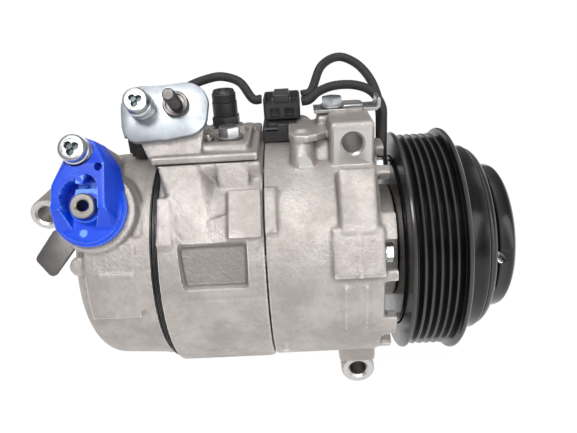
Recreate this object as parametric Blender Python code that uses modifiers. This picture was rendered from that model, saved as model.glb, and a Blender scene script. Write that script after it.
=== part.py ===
"""Belt-driven air-conditioning compressor for a car: seven cylinders, variable stroke, clutch.

The shaft lies along X. The origin is the middle of the hub bolt's front face. The body runs along -X.
Z is up when the two front mounting ears stand one above the other with their holes along Y.
"""

import math

import bmesh
import bpy
from mathutils import Matrix, Vector

MM = 0.001
GAP = 0.3 * MM  # between faces that touch on the real compressor

# ---------------------------------------------------------------- driving sizes
BODY_RADIUS = 56.6 * MM
BLOCK_LENGTH = 46.9 * MM
FRONT_HOUSING_LENGTH = 51.6 * MM
REAR_HOUSING_LENGTH = 37.3 * MM
REAR_RADIUS = 53.6 * MM
CAVITY_RADIUS = 45.3 * MM
FRONT_WALL = 5.6 * MM
PLATE_THICKNESS = 2.4 * MM
GASKET_THICKNESS = 0.6 * MM
RIM_DEPTH = 5.6 * MM
RIM_WALL = 5.0 * MM
HOUSING_TO_PULLEY = 11.9 * MM
SEAL_CIRCLE = 54.2 * MM
SEAL_GROOVE = 2.4 * MM
SEAL_DEPTH = 2.0 * MM
SEAL_RADIUS = 0.8 * MM

CYLINDERS = 7
RING_TURN = math.radians(8.1)  # the first cylinder stands this far from +Z towards +Y
BORE_CIRCLE = 38.0 * MM
BORE_RADIUS = 15.3 * MM
PISTON_CLEARANCE = 0.3 * MM
PISTON_LENGTH = 20.0 * MM
ROD_RADIUS = 3.0 * MM
BALL_RADIUS = 5.0 * MM
BALL_GAP = 1.1 * MM
BOLT_CIRCLE = 49.0 * MM
THROUGH_BOLT_RADIUS = 3.0 * MM
THROUGH_HEAD_RADIUS = 4.9 * MM
THROUGH_HEAD = 4.4 * MM
SEAT_CLEARANCE = 0.7 * MM
# the rim's fingers on each side of a bolt head: degrees from the bolt, and width
FINGERS = ((12.7, 11.5 * MM), (-9.3, 5.6 * MM))

PULLEY_RADIUS = 55.0 * MM
RIB_PITCH = 3.56 * MM
RIBS = 6
GROOVE_DEPTH = 3.0 * MM
PULLEY_FLANGE_RADIUS = 56.5 * MM
PULLEY_RIM_RADIUS = 57.5 * MM
PULLEY_BACK = 52.9 * MM
ROTOR_RADIUS = 47.9 * MM
ROTOR_FACE = 16.5 * MM
ROTOR_DISC = 5.5 * MM
COIL_OUTER = 43.8 * MM
COIL_INNER = 29.6 * MM
COIL_LENGTH = 27.0 * MM
COIL_PLATE = 3.6 * MM
COIL_BEHIND_PULLEY = 1.4 * MM
NOSE_RADIUS = 17.5 * MM
NOSE_FRONT = 24.5 * MM
NOSE_BORE = 13.3 * MM
BEARING_OUTER = 26.0 * MM
BEARING_WIDTH = 16.0 * MM
BALLS = 9

HUB_RADIUS = 37.3 * MM
HUB_DEPTH = 8.5 * MM
HUB_SLEEVE = 10.5 * MM
ARMATURE_RADIUS = 46.5 * MM
ARMATURE_THICKNESS = 3.5 * MM
AIR_GAP = 0.5 * MM

SHAFT_RADIUS = 9.0 * MM
SHAFT_NOSE_RADIUS = 6.5 * MM
PIVOT_FROM_BLOCK = 18.4 * MM  # wobble plate's pivot in front of the block's face
WOBBLE_RADIUS = 43.5 * MM
WOBBLE_THICKNESS = 8.0 * MM
JOURNAL_RADIUS = 18.2 * MM
JOURNAL_BORE = 12.2 * MM
JOURNAL_LENGTH = 12.0 * MM
LUG_RADIUS = 24.0 * MM
LUG_THICKNESS = 10.0 * MM
THRUST_THICKNESS = 2.5 * MM

EAR_X = -75.4 * MM
EAR_FACE_Y = -24.0 * MM
EAR_DEPTH = 46.0 * MM
UPPER_EAR_Z = 61.4 * MM
LOWER_EAR_X = -73.0 * MM
LOWER_EAR_Z = -67.6 * MM
EAR_WIDTH = 20.0 * MM
EAR_HOLE = 4.6 * MM
LOWER_EAR_RADIUS = 9.0 * MM
EAR_ROOT = 46.8 * MM  # the ears and pads start inside the shell's wall, outside its cavity
PEDESTAL_TOP = 31.0 * MM  # in the frame leaned back by FLANK_TILT, so it stays below the ear's hole
REAR_EAR = Vector((-220.3 * MM, -25.0 * MM, 35.0 * MM))
REAR_EAR_RADIUS = 7.6 * MM
REAR_EAR_HOLE = 4.1 * MM
REAR_EAR_DEPTH = 22.0 * MM

DISCHARGE_TILT = math.radians(31.0)  # the discharge port points this far above -Y
PORT_TILT = math.radians(31.0)  # and so does the suction port with its cap
FLANK_TILT = math.radians(28.0)  # the cast pads on the side lean back by this much
CABLE_RADIUS = 2.3 * MM

# muffler and its cover, upright on the block
MUFFLER_FRONT_Y = -28.5 * MM
MUFFLER_BACK_Y = 24.0 * MM
MUFFLER_FOOT_Y = -49.0 * MM
MUFFLER_FOOT_Z = 30.5 * MM
MUFFLER_WALL = 4.0 * MM
MUFFLER_DEPTH = 6.0 * MM
COVER_SEAM = 57.4 * MM
COVER_HEIGHT = 6.2 * MM
COVER_BOLT_X = -131.5 * MM
COVER_BOLT_Y = -11.0 * MM
COVER_BOLT_COLUMN = 10.5 * MM

# discharge port, in the frame leaned back by DISCHARGE_TILT
DISCHARGE_X = -158.5 * MM
DISCHARGE_FACE = 55.0 * MM
DISCHARGE_FOOT = 41.5 * MM
DISCHARGE_TOP = 68.5 * MM
DISCHARGE_DEPTH = 24.0 * MM
PLATE_GAUGE = 3.0 * MM
PLATE_BOLT_X = -167.5 * MM
PLATE_BOLT_UP = 60.0 * MM
SPACER_LENGTH = 6.0 * MM
STUD_X = -152.5 * MM
STUD_UP = 60.5 * MM
STUD_LENGTH = 18.0 * MM
RELIEF_X = -135.5 * MM
RELIEF_Y = 13.0 * MM

# suction port and cap, in the frame leaned back by PORT_TILT
PORT_X = -190.5 * MM
PORT_UP = 15.5 * MM
PORT_FACE = 57.0 * MM
PORT_BOSS_RADIUS = 18.0 * MM
PORT_BORE = 9.0 * MM
CAP_RADIUS = 17.0 * MM
CAP_HEIGHT = 13.0 * MM
CAP_STEP = 5.0 * MM
CAP_BOLT_X = 2.5 * MM
CAP_BOLT_UP = 24.5 * MM
CAP_BOLT_RADIUS = 3.0 * MM
CAP_SPACER = 3.0 * MM
BUSH_RADIUS = 5.6 * MM
STRAP_OUT = 51.0 * MM
STRAP_LENGTH = 16.0 * MM
STRAP_WIDTH = 13.0 * MM
STRAP_GAUGE = 2.0 * MM
STRAP_TURN = math.radians(-53.0)

# wiring, and the bracket on the upper ear
CLIP_X = -177.5 * MM
CLIP_Y = -2.0 * MM
CLIP_Z = 59.0 * MM
CONNECTOR_X = -106.8 * MM
CONNECTOR_WIDTH = 18.0 * MM
CONNECTOR_FRONT_Y = 5.0 * MM
CONNECTOR_BACK_Y = 22.0 * MM
HOLDER_FRONT_Y = -1.0 * MM
HOLDER_WIDTH = 20.0 * MM
HOLDER_TOP = 66.0 * MM
CONNECTOR_TOP = 79.0 * MM
UPPER_EAR_TOP = UPPER_EAR_Z + EAR_WIDTH / 2 - 1.0 * MM
BRACKET_LEFT = -91.5 * MM
BRACKET_RIGHT = -60.0 * MM
BRACKET_FRONT_Y = -4.0 * MM
BRACKET_WIDTH = 13.0 * MM
BRACKET_Z = UPPER_EAR_TOP + GAP
BRACKET_GAUGE = 1.6 * MM
BRACKET_BOLT_X = -82.5 * MM
BRACKET_BOLT_Y = 2.5 * MM

# hub, shaft and rear-end details
HUB_FACE = -0.5 * MM
HUB_BOLT_SEAT = -5.0 * MM
ROTOR_CLEARANCE = 0.7 * MM
SEAL_LAND = 7.5 * MM
SEAL_FRONT = -48.0 * MM
SHAFT_BEARING_OUTER = 13.3 * MM
SHAFT_BEARING_LENGTH = 8.2 * MM
SPRING_LENGTH = 4.0 * MM
SPRING_TURNS = 1.5
SPRING_POINTS = 18
SPRING_WIRE = 0.6 * MM
CHAMBER_DEPTH = 22.0 * MM
SUCTION_CHAMBER = 43.5 * MM
DISCHARGE_CHAMBER = 33.0 * MM
CHAMBER_WALL = 3.0 * MM
VALVE_HOLE = 3.0 * MM
VALVE_BODY_RADIUS = 8.0 * MM
VALVE_BODY_LENGTH = 11.0 * MM

# cable centrelines, from the plug outwards
CABLES = {
    "sensor_cable": [
        (-117.0 * MM, 15.5 * MM, 75.0 * MM),
        (-121.5 * MM, 16.0 * MM, 75.5 * MM),
        (-128.0 * MM, 25.5 * MM, 83.5 * MM),
        (-137.0 * MM, 27.5 * MM, 85.5 * MM),
        (-145.0 * MM, 26.5 * MM, 84.5 * MM),
        (-154.0 * MM, 24.5 * MM, 82.0 * MM),
        (-164.0 * MM, 24.0 * MM, 76.5 * MM),
        (-172.0 * MM, 21.0 * MM, 69.5 * MM),
        (-176.5 * MM, 15.0 * MM, 63.5 * MM),
        (-177.5 * MM, 8.0 * MM, 60.5 * MM),
        (-177.5 * MM, 2.7 * MM, 60.0 * MM),
    ],
    "coil_cable_long": [
        (-96.4 * MM, 18.5 * MM, 75.5 * MM),
        (-91.5 * MM, 19.5 * MM, 76.0 * MM),
        (-85.5 * MM, 35.5 * MM, 88.0 * MM),
        (-76.0 * MM, 42.0 * MM, 90.5 * MM),
        (-67.0 * MM, 39.0 * MM, 87.0 * MM),
        (-61.0 * MM, 30.0 * MM, 80.5 * MM),
        (-58.0 * MM, 21.0 * MM, 73.0 * MM),
        (-57.3 * MM, 15.0 * MM, 65.0 * MM),
        (-57.5 * MM, 12.0 * MM, 55.0 * MM),
        (-57.5 * MM, 10.8 * MM, 47.0 * MM),
        (-56.7 * MM, 10.5 * MM, 40.0 * MM),
    ],
    "coil_cable_short": [
        (-96.9 * MM, 12.5 * MM, 73.5 * MM),
        (-93.0 * MM, 13.0 * MM, 74.0 * MM),
        (-88.0 * MM, 18.0 * MM, 77.0 * MM),
        (-80.0 * MM, 20.0 * MM, 79.0 * MM),
        (-70.0 * MM, 19.5 * MM, 79.0 * MM),
        (-62.0 * MM, 14.5 * MM, 76.5 * MM),
        (-57.5 * MM, 9.0 * MM, 70.0 * MM),
        (-57.3 * MM, 6.0 * MM, 62.0 * MM),
        (-57.5 * MM, 4.5 * MM, 54.0 * MM),
        (-57.5 * MM, 4.0 * MM, 47.0 * MM),
        (-56.7 * MM, 4.0 * MM, 40.0 * MM),
    ],
}

# ---------------------------------------------------------------- stations along the shaft
HOUSING_FRONT = -(PULLEY_BACK + HOUSING_TO_PULLEY)
BLOCK_FRONT = HOUSING_FRONT - FRONT_HOUSING_LENGTH
COIL_SHOULDER = -(PULLEY_BACK + COIL_BEHIND_PULLEY)
COIL_REAR = COIL_SHOULDER + GAP
BLOCK_REAR = BLOCK_FRONT - BLOCK_LENGTH
VALVE_FRONT = BLOCK_REAR - GAP
VALVE_REAR = VALVE_FRONT - PLATE_THICKNESS
GASKET_FRONT = VALVE_REAR - GAP
GASKET_REAR = GASKET_FRONT - GASKET_THICKNESS
REAR_FRONT = GASKET_REAR - GAP
REAR_END = REAR_FRONT - REAR_HOUSING_LENGTH
WALL_BACK = HOUSING_FRONT - FRONT_WALL
PIVOT_X = BLOCK_FRONT + PIVOT_FROM_BLOCK
THRUST_FRONT = WALL_BACK - GAP
LUG_FRONT = THRUST_FRONT - THRUST_THICKNESS - GAP
LUG_REAR = LUG_FRONT - LUG_THICKNESS
ARMATURE_REAR = -(ROTOR_FACE - AIR_GAP)
ARMATURE_FRONT = ARMATURE_REAR + ARMATURE_THICKNESS
BEARING_REAR = -45.5 * MM
PISTON_FRONT = BLOCK_FRONT - 13.4 * MM
SHAFT_REAR = BLOCK_FRONT - 34.0 * MM
THROUGH_BOLT_END = REAR_FRONT - 15.0 * MM

bpy.context.preferences.edit.use_global_undo = False
for old in list(bpy.data.objects):
    bpy.data.objects.remove(old, do_unlink=True)


def collection(name, hidden=False):
    made = bpy.data.collections.new(name)
    bpy.context.scene.collection.children.link(made)
    made.hide_render = hidden
    return made


PARTS = collection("ac_compressor")
CUTTERS = collection("cutters", hidden=True)


# ---------------------------------------------------------------- materials
def material(name, colour, roughness, metallic):
    made = bpy.data.materials.get(name)
    if made is None:
        made = bpy.data.materials.new(name)
        made.use_nodes = True
        shader = made.node_tree.nodes["Principled BSDF"]
        shader.inputs["Base Color"].default_value = (*colour, 1.0)
        shader.inputs["Roughness"].default_value = roughness
        shader.inputs["Metallic"].default_value = metallic
    return made


CAST = material("cast_aluminium", (0.62, 0.58, 0.55), 0.5, 0.85)
ZINC = material("zinc_plated_steel", (0.72, 0.75, 0.78), 0.28, 1.0)
STEEL = material("machined_steel", (0.50, 0.50, 0.52), 0.3, 1.0)
DARK_STEEL = material("darkened_steel", (0.10, 0.09, 0.09), 0.45, 0.8)
BLACK_PAINT = material("black_gloss_paint", (0.012, 0.012, 0.014), 0.22, 0.0)
BLUE_PLASTIC = material("blue_plastic", (0.0, 0.055, 0.85), 0.35, 0.0)
BLACK_PLASTIC = material("black_plastic", (0.025, 0.025, 0.028), 0.45, 0.0)
CABLE_SLEEVE = material("cable_sleeve", (0.03, 0.03, 0.032), 0.55, 0.0)
RUBBER = material("black_rubber", (0.02, 0.02, 0.02), 0.8, 0.0)


# ---------------------------------------------------------------- shape helpers
def keep(obj, paint):
    """Puts a finished object among the parts, with its material."""
    for holder in list(obj.users_collection):
        holder.objects.unlink(obj)
    PARTS.objects.link(obj)
    obj.data.materials.clear()
    obj.data.materials.append(paint)
    if obj.type == "MESH":
        obj.data.shade_smooth()
        obj.data.set_sharp_from_angle(angle=math.radians(35.0))
    return obj


def as_tool(obj):
    """Puts an object that shapes another one among the cutters."""
    for holder in list(obj.users_collection):
        holder.objects.unlink(obj)
    CUTTERS.objects.link(obj)
    obj.hide_render = True
    obj.display_type = "WIRE"
    return obj


def boolean(obj, tool, operation, solver="EXACT"):
    step = obj.modifiers.new(f"{operation.lower()}_{tool.name}", "BOOLEAN")
    step.operation = operation
    step.solver = solver
    step.object = as_tool(tool)
    return obj


def add(obj, tool):
    return boolean(obj, tool, "UNION")


def cut(obj, tool):
    return boolean(obj, tool, "DIFFERENCE")


def mesh_object(name, builder, bevel=0.0):
    shape = bmesh.new()
    builder(shape)
    bmesh.ops.recalc_face_normals(shape, faces=shape.faces)
    data = bpy.data.meshes.new(name)
    shape.to_mesh(data)
    shape.free()
    obj = bpy.data.objects.new(name, data)
    bpy.context.scene.collection.objects.link(obj)
    if bevel:
        edge = obj.modifiers.new("rounded_edges", "BEVEL")
        edge.width = bevel
        edge.limit_method = "ANGLE"
        edge.angle_limit = math.radians(40.0)
    return obj


def box(name, low, high, bevel=0.0, tilt=0.0):
    """A block between two corners. A tilted one is given in the frame turned back about X by tilt."""
    low, high = Vector(low), Vector(high)

    def build(shape):
        bmesh.ops.create_cube(shape, size=1.0)
        bmesh.ops.scale(shape, vec=high - low, verts=shape.verts)
        bmesh.ops.translate(shape, vec=(low + high) / 2, verts=shape.verts)

    obj = mesh_object(name, build, bevel)
    obj.rotation_euler.x = -tilt
    return obj


def tilted(x, out, up, tilt):
    """The world place of a point: out along the tilted -Y, up along the tilted Z."""
    return Matrix.Rotation(-tilt, 4, "X") @ Vector((x, -out, up))


def rod(name, start, end, radius, end_radius=None, sides=16, bevel=0.0, twist=0.0):
    """A cylinder, cone or prism from start to end."""
    start, end = Vector(start), Vector(end)
    way = end - start
    last = radius if end_radius is None else end_radius

    def build(shape):
        bmesh.ops.create_cone(
            shape, cap_ends=True, segments=sides, radius1=radius, radius2=last, depth=way.length
        )

    obj = mesh_object(name, build, bevel)
    turn = way.to_track_quat("Z", "Y").to_matrix().to_4x4() @ Matrix.Rotation(twist, 4, "Z")
    obj.matrix_world = Matrix.Translation((start + end) / 2) @ turn
    return obj


def along_shaft(name, start_x, end_x, radius, angle=0.0, circle=0.0, sides=24, bevel=0.0):
    """A cylinder parallel to the shaft, at an angle from +Z on a circle round it."""
    y, z = circle * math.sin(angle), circle * math.cos(angle)
    return rod(name, (start_x, y, z), (end_x, y, z), radius, sides=sides, bevel=bevel)


def turned(name, outline, steps=40):
    """A shape turned round the shaft, from a loop of (x, radius) points that starts down its outer side.

    An edge of the loop that lies on the shaft's own axis makes no surface and is left out.
    """
    data = bpy.data.meshes.new(name)
    shape = bmesh.new()
    points = [shape.verts.new((radius, 0.0, x)) for x, radius in outline]
    for first, second in zip(points, points[1:] + points[:1]):
        if first.co.x > 0.0 or second.co.x > 0.0:
            shape.edges.new((first, second))
    shape.to_mesh(data)
    shape.free()
    obj = bpy.data.objects.new(name, data)
    bpy.context.scene.collection.objects.link(obj)
    screw = obj.modifiers.new("turn", "SCREW")
    screw.axis = "Z"
    screw.steps = steps
    screw.render_steps = steps
    screw.use_merge_vertices = True
    screw.merge_threshold = 0.00001
    obj.rotation_euler.y = math.pi / 2
    return obj


def sleeve(name, front, rear, outer, inner, steps=24):
    """A plain ring round the shaft."""
    return turned(name, [(front, outer), (rear, outer), (rear, inner), (front, inner)], steps)


def plate(name, outline, thickness, matrix, bevel=0.0):
    """A flat outline in local X and Z, with its thickness along local -Y, put in place by a matrix."""

    def build(shape):
        corners = [shape.verts.new((x, 0.0, z)) for x, z in outline]
        face = shape.faces.new(corners)
        grown = bmesh.ops.extrude_face_region(shape, geom=[face])
        moved = [item for item in grown["geom"] if isinstance(item, bmesh.types.BMVert)]
        bmesh.ops.translate(shape, vec=(0.0, -thickness, 0.0), verts=moved)

    obj = mesh_object(name, build, bevel)
    obj.matrix_world = matrix
    return obj


def along_x(rear):
    """The place of a flat outline whose first coordinate is Y and second Z, running forward from rear."""
    return Matrix.Translation((rear, 0.0, 0.0)) @ Matrix.Rotation(math.pi / 2, 4, "Z")


def arc(cx, cz, radius, start_deg, end_deg, count):
    """Points of a round stretch of an outline."""
    step = (end_deg - start_deg) / (count - 1)
    angles = [math.radians(start_deg + step * i) for i in range(count)]
    return [(cx + radius * math.cos(a), cz + radius * math.sin(a)) for a in angles]


def smooth_route(points, spacing):
    """Points at an even spacing along a Catmull-Rom curve through the route's own points."""
    path = [Vector(p) for p in points]
    path = [path[0] * 2 - path[1]] + path + [path[-1] * 2 - path[-2]]
    dense = []
    for i in range(1, len(path) - 2):
        before, here, there, after = path[i - 1 : i + 3]
        for k in range(20):
            t = k / 20
            dense.append(
                0.5
                * (
                    2 * here
                    + (there - before) * t
                    + (2 * before - 5 * here + 4 * there - after) * t * t
                    + (3 * here - before - 3 * there + after) * t * t * t
                )
            )
    dense.append(path[-2])
    kept = [dense[0]]
    for point in dense:
        if (point - kept[-1]).length >= spacing:
            kept.append(point)
    if (kept[-1] - dense[-1]).length < spacing / 2:
        kept.pop()
    return kept + [dense[-1]]


def tube(name, points, radius, spacing):
    """A wire or a hose: a bevelled curve with closed ends."""
    data = bpy.data.curves.new(name, "CURVE")
    data.dimensions = "3D"
    data.bevel_depth = radius
    data.bevel_resolution = 2 if radius > MM else 1
    data.use_fill_caps = True
    route = smooth_route(points, spacing)
    line = data.splines.new("POLY")
    line.points.add(len(route) - 1)
    for knot, point in zip(line.points, route):
        knot.co = (*point, 1.0)
    obj = bpy.data.objects.new(name, data)
    bpy.context.scene.collection.objects.link(obj)
    return obj


def ring_angle(index, offset=0.0):
    return 2 * math.pi * (index + offset) / CYLINDERS + RING_TURN


def pivot_empty(name, place):
    empty = bpy.data.objects.new(name, None)
    empty.location = place
    PARTS.objects.link(empty)
    return empty


def hang(obj, empty):
    """Parents an object to an empty without moving it."""
    bpy.context.view_layer.update()
    obj.parent = empty
    obj.matrix_parent_inverse = empty.matrix_world.inverted()


# ---------------------------------------------------------------- castings
def bolt_holes(obj, front, rear, radius):
    for i in range(CYLINDERS):
        hole = along_shaft(
            f"{obj.name}_bolt_hole_{i + 1}", front, rear, radius, ring_angle(i, 0.5), BOLT_CIRCLE, 10
        )
        cut(obj, hole)


def front_housing():
    """Crankcase shell, front wall and bearing nose in one casting, with the two front mounting ears."""
    back = BLOCK_FRONT + GAP
    obj = turned(
        "front_housing",
        [
            (-NOSE_FRONT, NOSE_RADIUS),
            (COIL_SHOULDER, NOSE_RADIUS),
            (COIL_SHOULDER, COIL_INNER),
            (HOUSING_FRONT, COIL_INNER),
            (HOUSING_FRONT, BODY_RADIUS - 1.0 * MM),
            (HOUSING_FRONT - 1.0 * MM, BODY_RADIUS),
            (back, BODY_RADIUS),
            (back, SEAL_CIRCLE + SEAL_GROOVE / 2),
            (back + SEAL_DEPTH, SEAL_CIRCLE + SEAL_GROOVE / 2),
            (back + SEAL_DEPTH, SEAL_CIRCLE - SEAL_GROOVE / 2),
            (back, SEAL_CIRCLE - SEAL_GROOVE / 2),
            (back, CAVITY_RADIUS),
            (WALL_BACK, CAVITY_RADIUS),
            (WALL_BACK, NOSE_BORE),
            (-NOSE_FRONT, NOSE_BORE),
        ],
        40,
    )
    for i in range(CYLINDERS):
        for before, width in FINGERS:
            finger = box(
                f"rim_finger_{i + 1}_{before}",
                (HOUSING_FRONT - 1.5 * MM, -width / 2, BODY_RADIUS - RIM_WALL),
                (HOUSING_FRONT + RIM_DEPTH, width / 2, BODY_RADIUS - 0.5 * MM),
            )
            finger.rotation_euler.x = -(ring_angle(i, 0.5) + math.radians(before))
            add(obj, finger)
    ear_back = EAR_FACE_Y + EAR_DEPTH
    half = EAR_WIDTH / 2
    upper = box(
        "upper_ear",
        (EAR_X - half, EAR_FACE_Y, EAR_ROOT),
        (EAR_X + half, ear_back, UPPER_EAR_Z + half - 1.0 * MM),
        3.0 * MM,
    )
    add(obj, upper)
    lower = rod(
        "lower_ear",
        (LOWER_EAR_X, EAR_FACE_Y, LOWER_EAR_Z),
        (LOWER_EAR_X, ear_back, LOWER_EAR_Z),
        LOWER_EAR_RADIUS,
        bevel=0.8 * MM,
    )
    add(obj, lower)
    web = box(
        "lower_ear_web",
        (LOWER_EAR_X - LOWER_EAR_RADIUS, EAR_FACE_Y + 3.0 * MM, LOWER_EAR_Z + 2.0 * MM),
        (LOWER_EAR_X + LOWER_EAR_RADIUS, ear_back - 3.0 * MM, -EAR_ROOT),
    )
    add(obj, web)
    pedestal = box(
        "ear_pedestal",
        (EAR_X - half - 1.0 * MM, -58.5 * MM, 8.0 * MM),
        (EAR_X + half - 2.0 * MM, -EAR_ROOT, PEDESTAL_TOP),
        3.0 * MM,
        FLANK_TILT,
    )
    add(obj, pedestal)
    raised = box(
        "side_pad",
        (EAR_X - half - 2.0 * MM, -58.8 * MM, -20.0 * MM),
        (HOUSING_FRONT, -EAR_ROOT, 5.0 * MM),
        2.0 * MM,
        FLANK_TILT,
    )
    add(obj, raised)
    boss = rod(
        "bolt_column",
        tilted(-104.0 * MM, 36.0 * MM, 45.0 * MM, FLANK_TILT),
        tilted(-91.0 * MM, 36.0 * MM, 45.0 * MM, FLANK_TILT),
        8.0 * MM,
        bevel=1.0 * MM,
    )
    add(obj, boss)
    for name, x, z in (("upper", EAR_X, UPPER_EAR_Z), ("lower", LOWER_EAR_X, LOWER_EAR_Z)):
        hole = rod(
            f"{name}_ear_hole",
            (x, EAR_FACE_Y - 5.0 * MM, z),
            (x, ear_back + 5.0 * MM, z),
            EAR_HOLE,
        )
        cut(obj, hole)
    for i in range(CYLINDERS):
        seat = along_shaft(
            f"bolt_seat_{i + 1}",
            HOUSING_FRONT,
            HOUSING_FRONT + 2 * RIM_DEPTH,
            THROUGH_HEAD_RADIUS + SEAT_CLEARANCE,
            ring_angle(i, 0.5),
            BOLT_CIRCLE,
            16,
        )
        cut(obj, seat)
    bolt_holes(obj, HOUSING_FRONT + RIM_DEPTH, BLOCK_FRONT - 1.0 * MM, THROUGH_BOLT_RADIUS + GAP)
    return keep(obj, CAST)


def cylinder_block():
    """The block with its seven bores, and the muffler chamber cast on its upper side."""
    obj = turned(
        "cylinder_block",
        [
            (BLOCK_FRONT, BODY_RADIUS),
            (BLOCK_REAR + 2.0 * MM, BODY_RADIUS),
            (BLOCK_REAR, BODY_RADIUS - 2.0 * MM),
            (BLOCK_REAR, SHAFT_BEARING_OUTER),
            (BLOCK_FRONT, SHAFT_BEARING_OUTER),
        ],
        40,
    )
    left, right = BLOCK_REAR + 1.0 * MM, BLOCK_FRONT - 0.8 * MM
    top = COVER_SEAM - GAP
    outline = [
        (MUFFLER_FRONT_Y, top),
        (MUFFLER_FOOT_Y, MUFFLER_FOOT_Z),
        (MUFFLER_FOOT_Y * 0.9, MUFFLER_FOOT_Z * 0.9),
        (0.0, BODY_RADIUS - 3.0 * MM),
        (MUFFLER_BACK_Y, BODY_RADIUS * 0.75),
        (MUFFLER_BACK_Y, top),
    ]
    walls = plate("muffler_walls", outline, right - left, along_x(left))
    add(obj, walls)
    chamber = box(
        "muffler_chamber",
        (left + MUFFLER_WALL, MUFFLER_FRONT_Y + MUFFLER_WALL, top - MUFFLER_DEPTH),
        (right - MUFFLER_WALL, -BORE_RADIUS + 1.0 * MM, top + 5.0 * MM),
    )
    cut(obj, chamber)
    pocket = box(
        "side_pocket",
        (BLOCK_REAR + 9.5 * MM, -BODY_RADIUS - 5.0 * MM, -21.0 * MM),
        (BLOCK_FRONT - 6.5 * MM, -BODY_RADIUS + 3.2 * MM, 1.5 * MM),
        1.5 * MM,
        FLANK_TILT,
    )
    cut(obj, pocket)
    for i in range(CYLINDERS):
        bore = along_shaft(
            f"bore_{i + 1}",
            BLOCK_FRONT + 5.0 * MM,
            BLOCK_REAR - 5.0 * MM,
            BORE_RADIUS,
            ring_angle(i),
            BORE_CIRCLE,
            22,
        )
        cut(obj, bore)
    bolt_holes(obj, BLOCK_FRONT + 5.0 * MM, BLOCK_REAR - 5.0 * MM, THROUGH_BOLT_RADIUS + GAP)
    return keep(obj, CAST)


def rear_housing():
    """The rear cover, with its suction and discharge chambers, the suction port and the rear ear."""
    depth = REAR_FRONT - CHAMBER_DEPTH
    corner = 12.0 * MM
    outline = [(REAR_FRONT, REAR_RADIUS), (REAR_END + corner, REAR_RADIUS - 1.5 * MM)]
    for i in range(1, 5):
        turn = math.radians(22.5 * i)
        outline.append(
            (
                REAR_END + corner * (1 - math.sin(turn)),
                REAR_RADIUS - 1.5 * MM - corner * (1 - math.cos(turn)),
            )
        )
    outline += [
        (REAR_END, 0.0),
        (depth, 0.0),
        (depth, DISCHARGE_CHAMBER),
        (REAR_FRONT, DISCHARGE_CHAMBER),
        (REAR_FRONT, DISCHARGE_CHAMBER + CHAMBER_WALL),
        (depth, DISCHARGE_CHAMBER + CHAMBER_WALL),
        (depth, SUCTION_CHAMBER),
        (REAR_FRONT, SUCTION_CHAMBER),
    ]
    obj = turned("rear_housing", outline, 36)
    port = rod(
        "port_boss",
        tilted(PORT_X, 20.0 * MM, PORT_UP, PORT_TILT),
        tilted(PORT_X, PORT_FACE, PORT_UP, PORT_TILT),
        PORT_BOSS_RADIUS,
        sides=28,
        bevel=1.0 * MM,
    )
    lobe = rod(
        "port_bolt_boss",
        tilted(PORT_X - CAP_BOLT_X, 20.0 * MM, PORT_UP + CAP_BOLT_UP, PORT_TILT),
        tilted(PORT_X - CAP_BOLT_X, PORT_FACE - 6.0 * MM, PORT_UP + CAP_BOLT_UP, PORT_TILT),
        7.5 * MM,
        bevel=1.0 * MM,
    )
    inside = along_shaft(
        "chamber_space", REAR_FRONT + 1.0 * MM, depth, REAR_RADIUS - 5.0 * MM, sides=36
    )
    cut(port, inside)
    inside_lobe = along_shaft(
        "chamber_space_above", REAR_FRONT + 1.0 * MM, depth, REAR_RADIUS - 5.0 * MM, sides=36
    )
    cut(lobe, inside_lobe)
    add(obj, port)
    add(obj, lobe)
    passage = rod(
        "port_bore",
        tilted(PORT_X, 38.0 * MM, PORT_UP, PORT_TILT),
        tilted(PORT_X, PORT_FACE + 5.0 * MM, PORT_UP, PORT_TILT),
        PORT_BORE,
        sides=24,
    )
    cut(obj, passage)
    thread = rod(
        "cap_bolt_hole",
        tilted(PORT_X - CAP_BOLT_X, PORT_FACE - 22.0 * MM, PORT_UP + CAP_BOLT_UP, PORT_TILT),
        tilted(PORT_X - CAP_BOLT_X, PORT_FACE + 5.0 * MM, PORT_UP + CAP_BOLT_UP, PORT_TILT),
        CAP_BOLT_RADIUS + GAP,
        sides=16,
    )
    cut(obj, thread)
    ear_end = REAR_EAR.y + REAR_EAR_DEPTH
    ear = rod("rear_ear", REAR_EAR, (REAR_EAR.x, ear_end, REAR_EAR.z), REAR_EAR_RADIUS, bevel=0.6 * MM)
    arm = box(
        "rear_ear_arm",
        (REAR_EAR.x, REAR_EAR.y + 2.5 * MM, REAR_EAR.z - REAR_EAR_RADIUS + 0.5 * MM),
        (REAR_END + 16.0 * MM, ear_end - 2.5 * MM, REAR_EAR.z + REAR_EAR_RADIUS - 0.5 * MM),
        1.0 * MM,
    )
    add(obj, arm)
    add(obj, ear)
    hole = rod(
        "rear_ear_hole",
        (REAR_EAR.x, REAR_EAR.y - 5.0 * MM, REAR_EAR.z),
        (REAR_EAR.x, ear_end + 5.0 * MM, REAR_EAR.z),
        REAR_EAR_HOLE,
    )
    cut(obj, hole)
    pocket = along_shaft(
        "control_valve_hole",
        REAR_END - 5.0 * MM,
        REAR_END + VALVE_BODY_LENGTH,
        VALVE_BODY_RADIUS + GAP,
        sides=24,
    )
    cut(obj, pocket)
    bolt_holes(obj, REAR_FRONT + 5.0 * MM, THROUGH_BOLT_END - 1.0 * MM, THROUGH_BOLT_RADIUS + GAP)
    return keep(obj, CAST)


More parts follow.
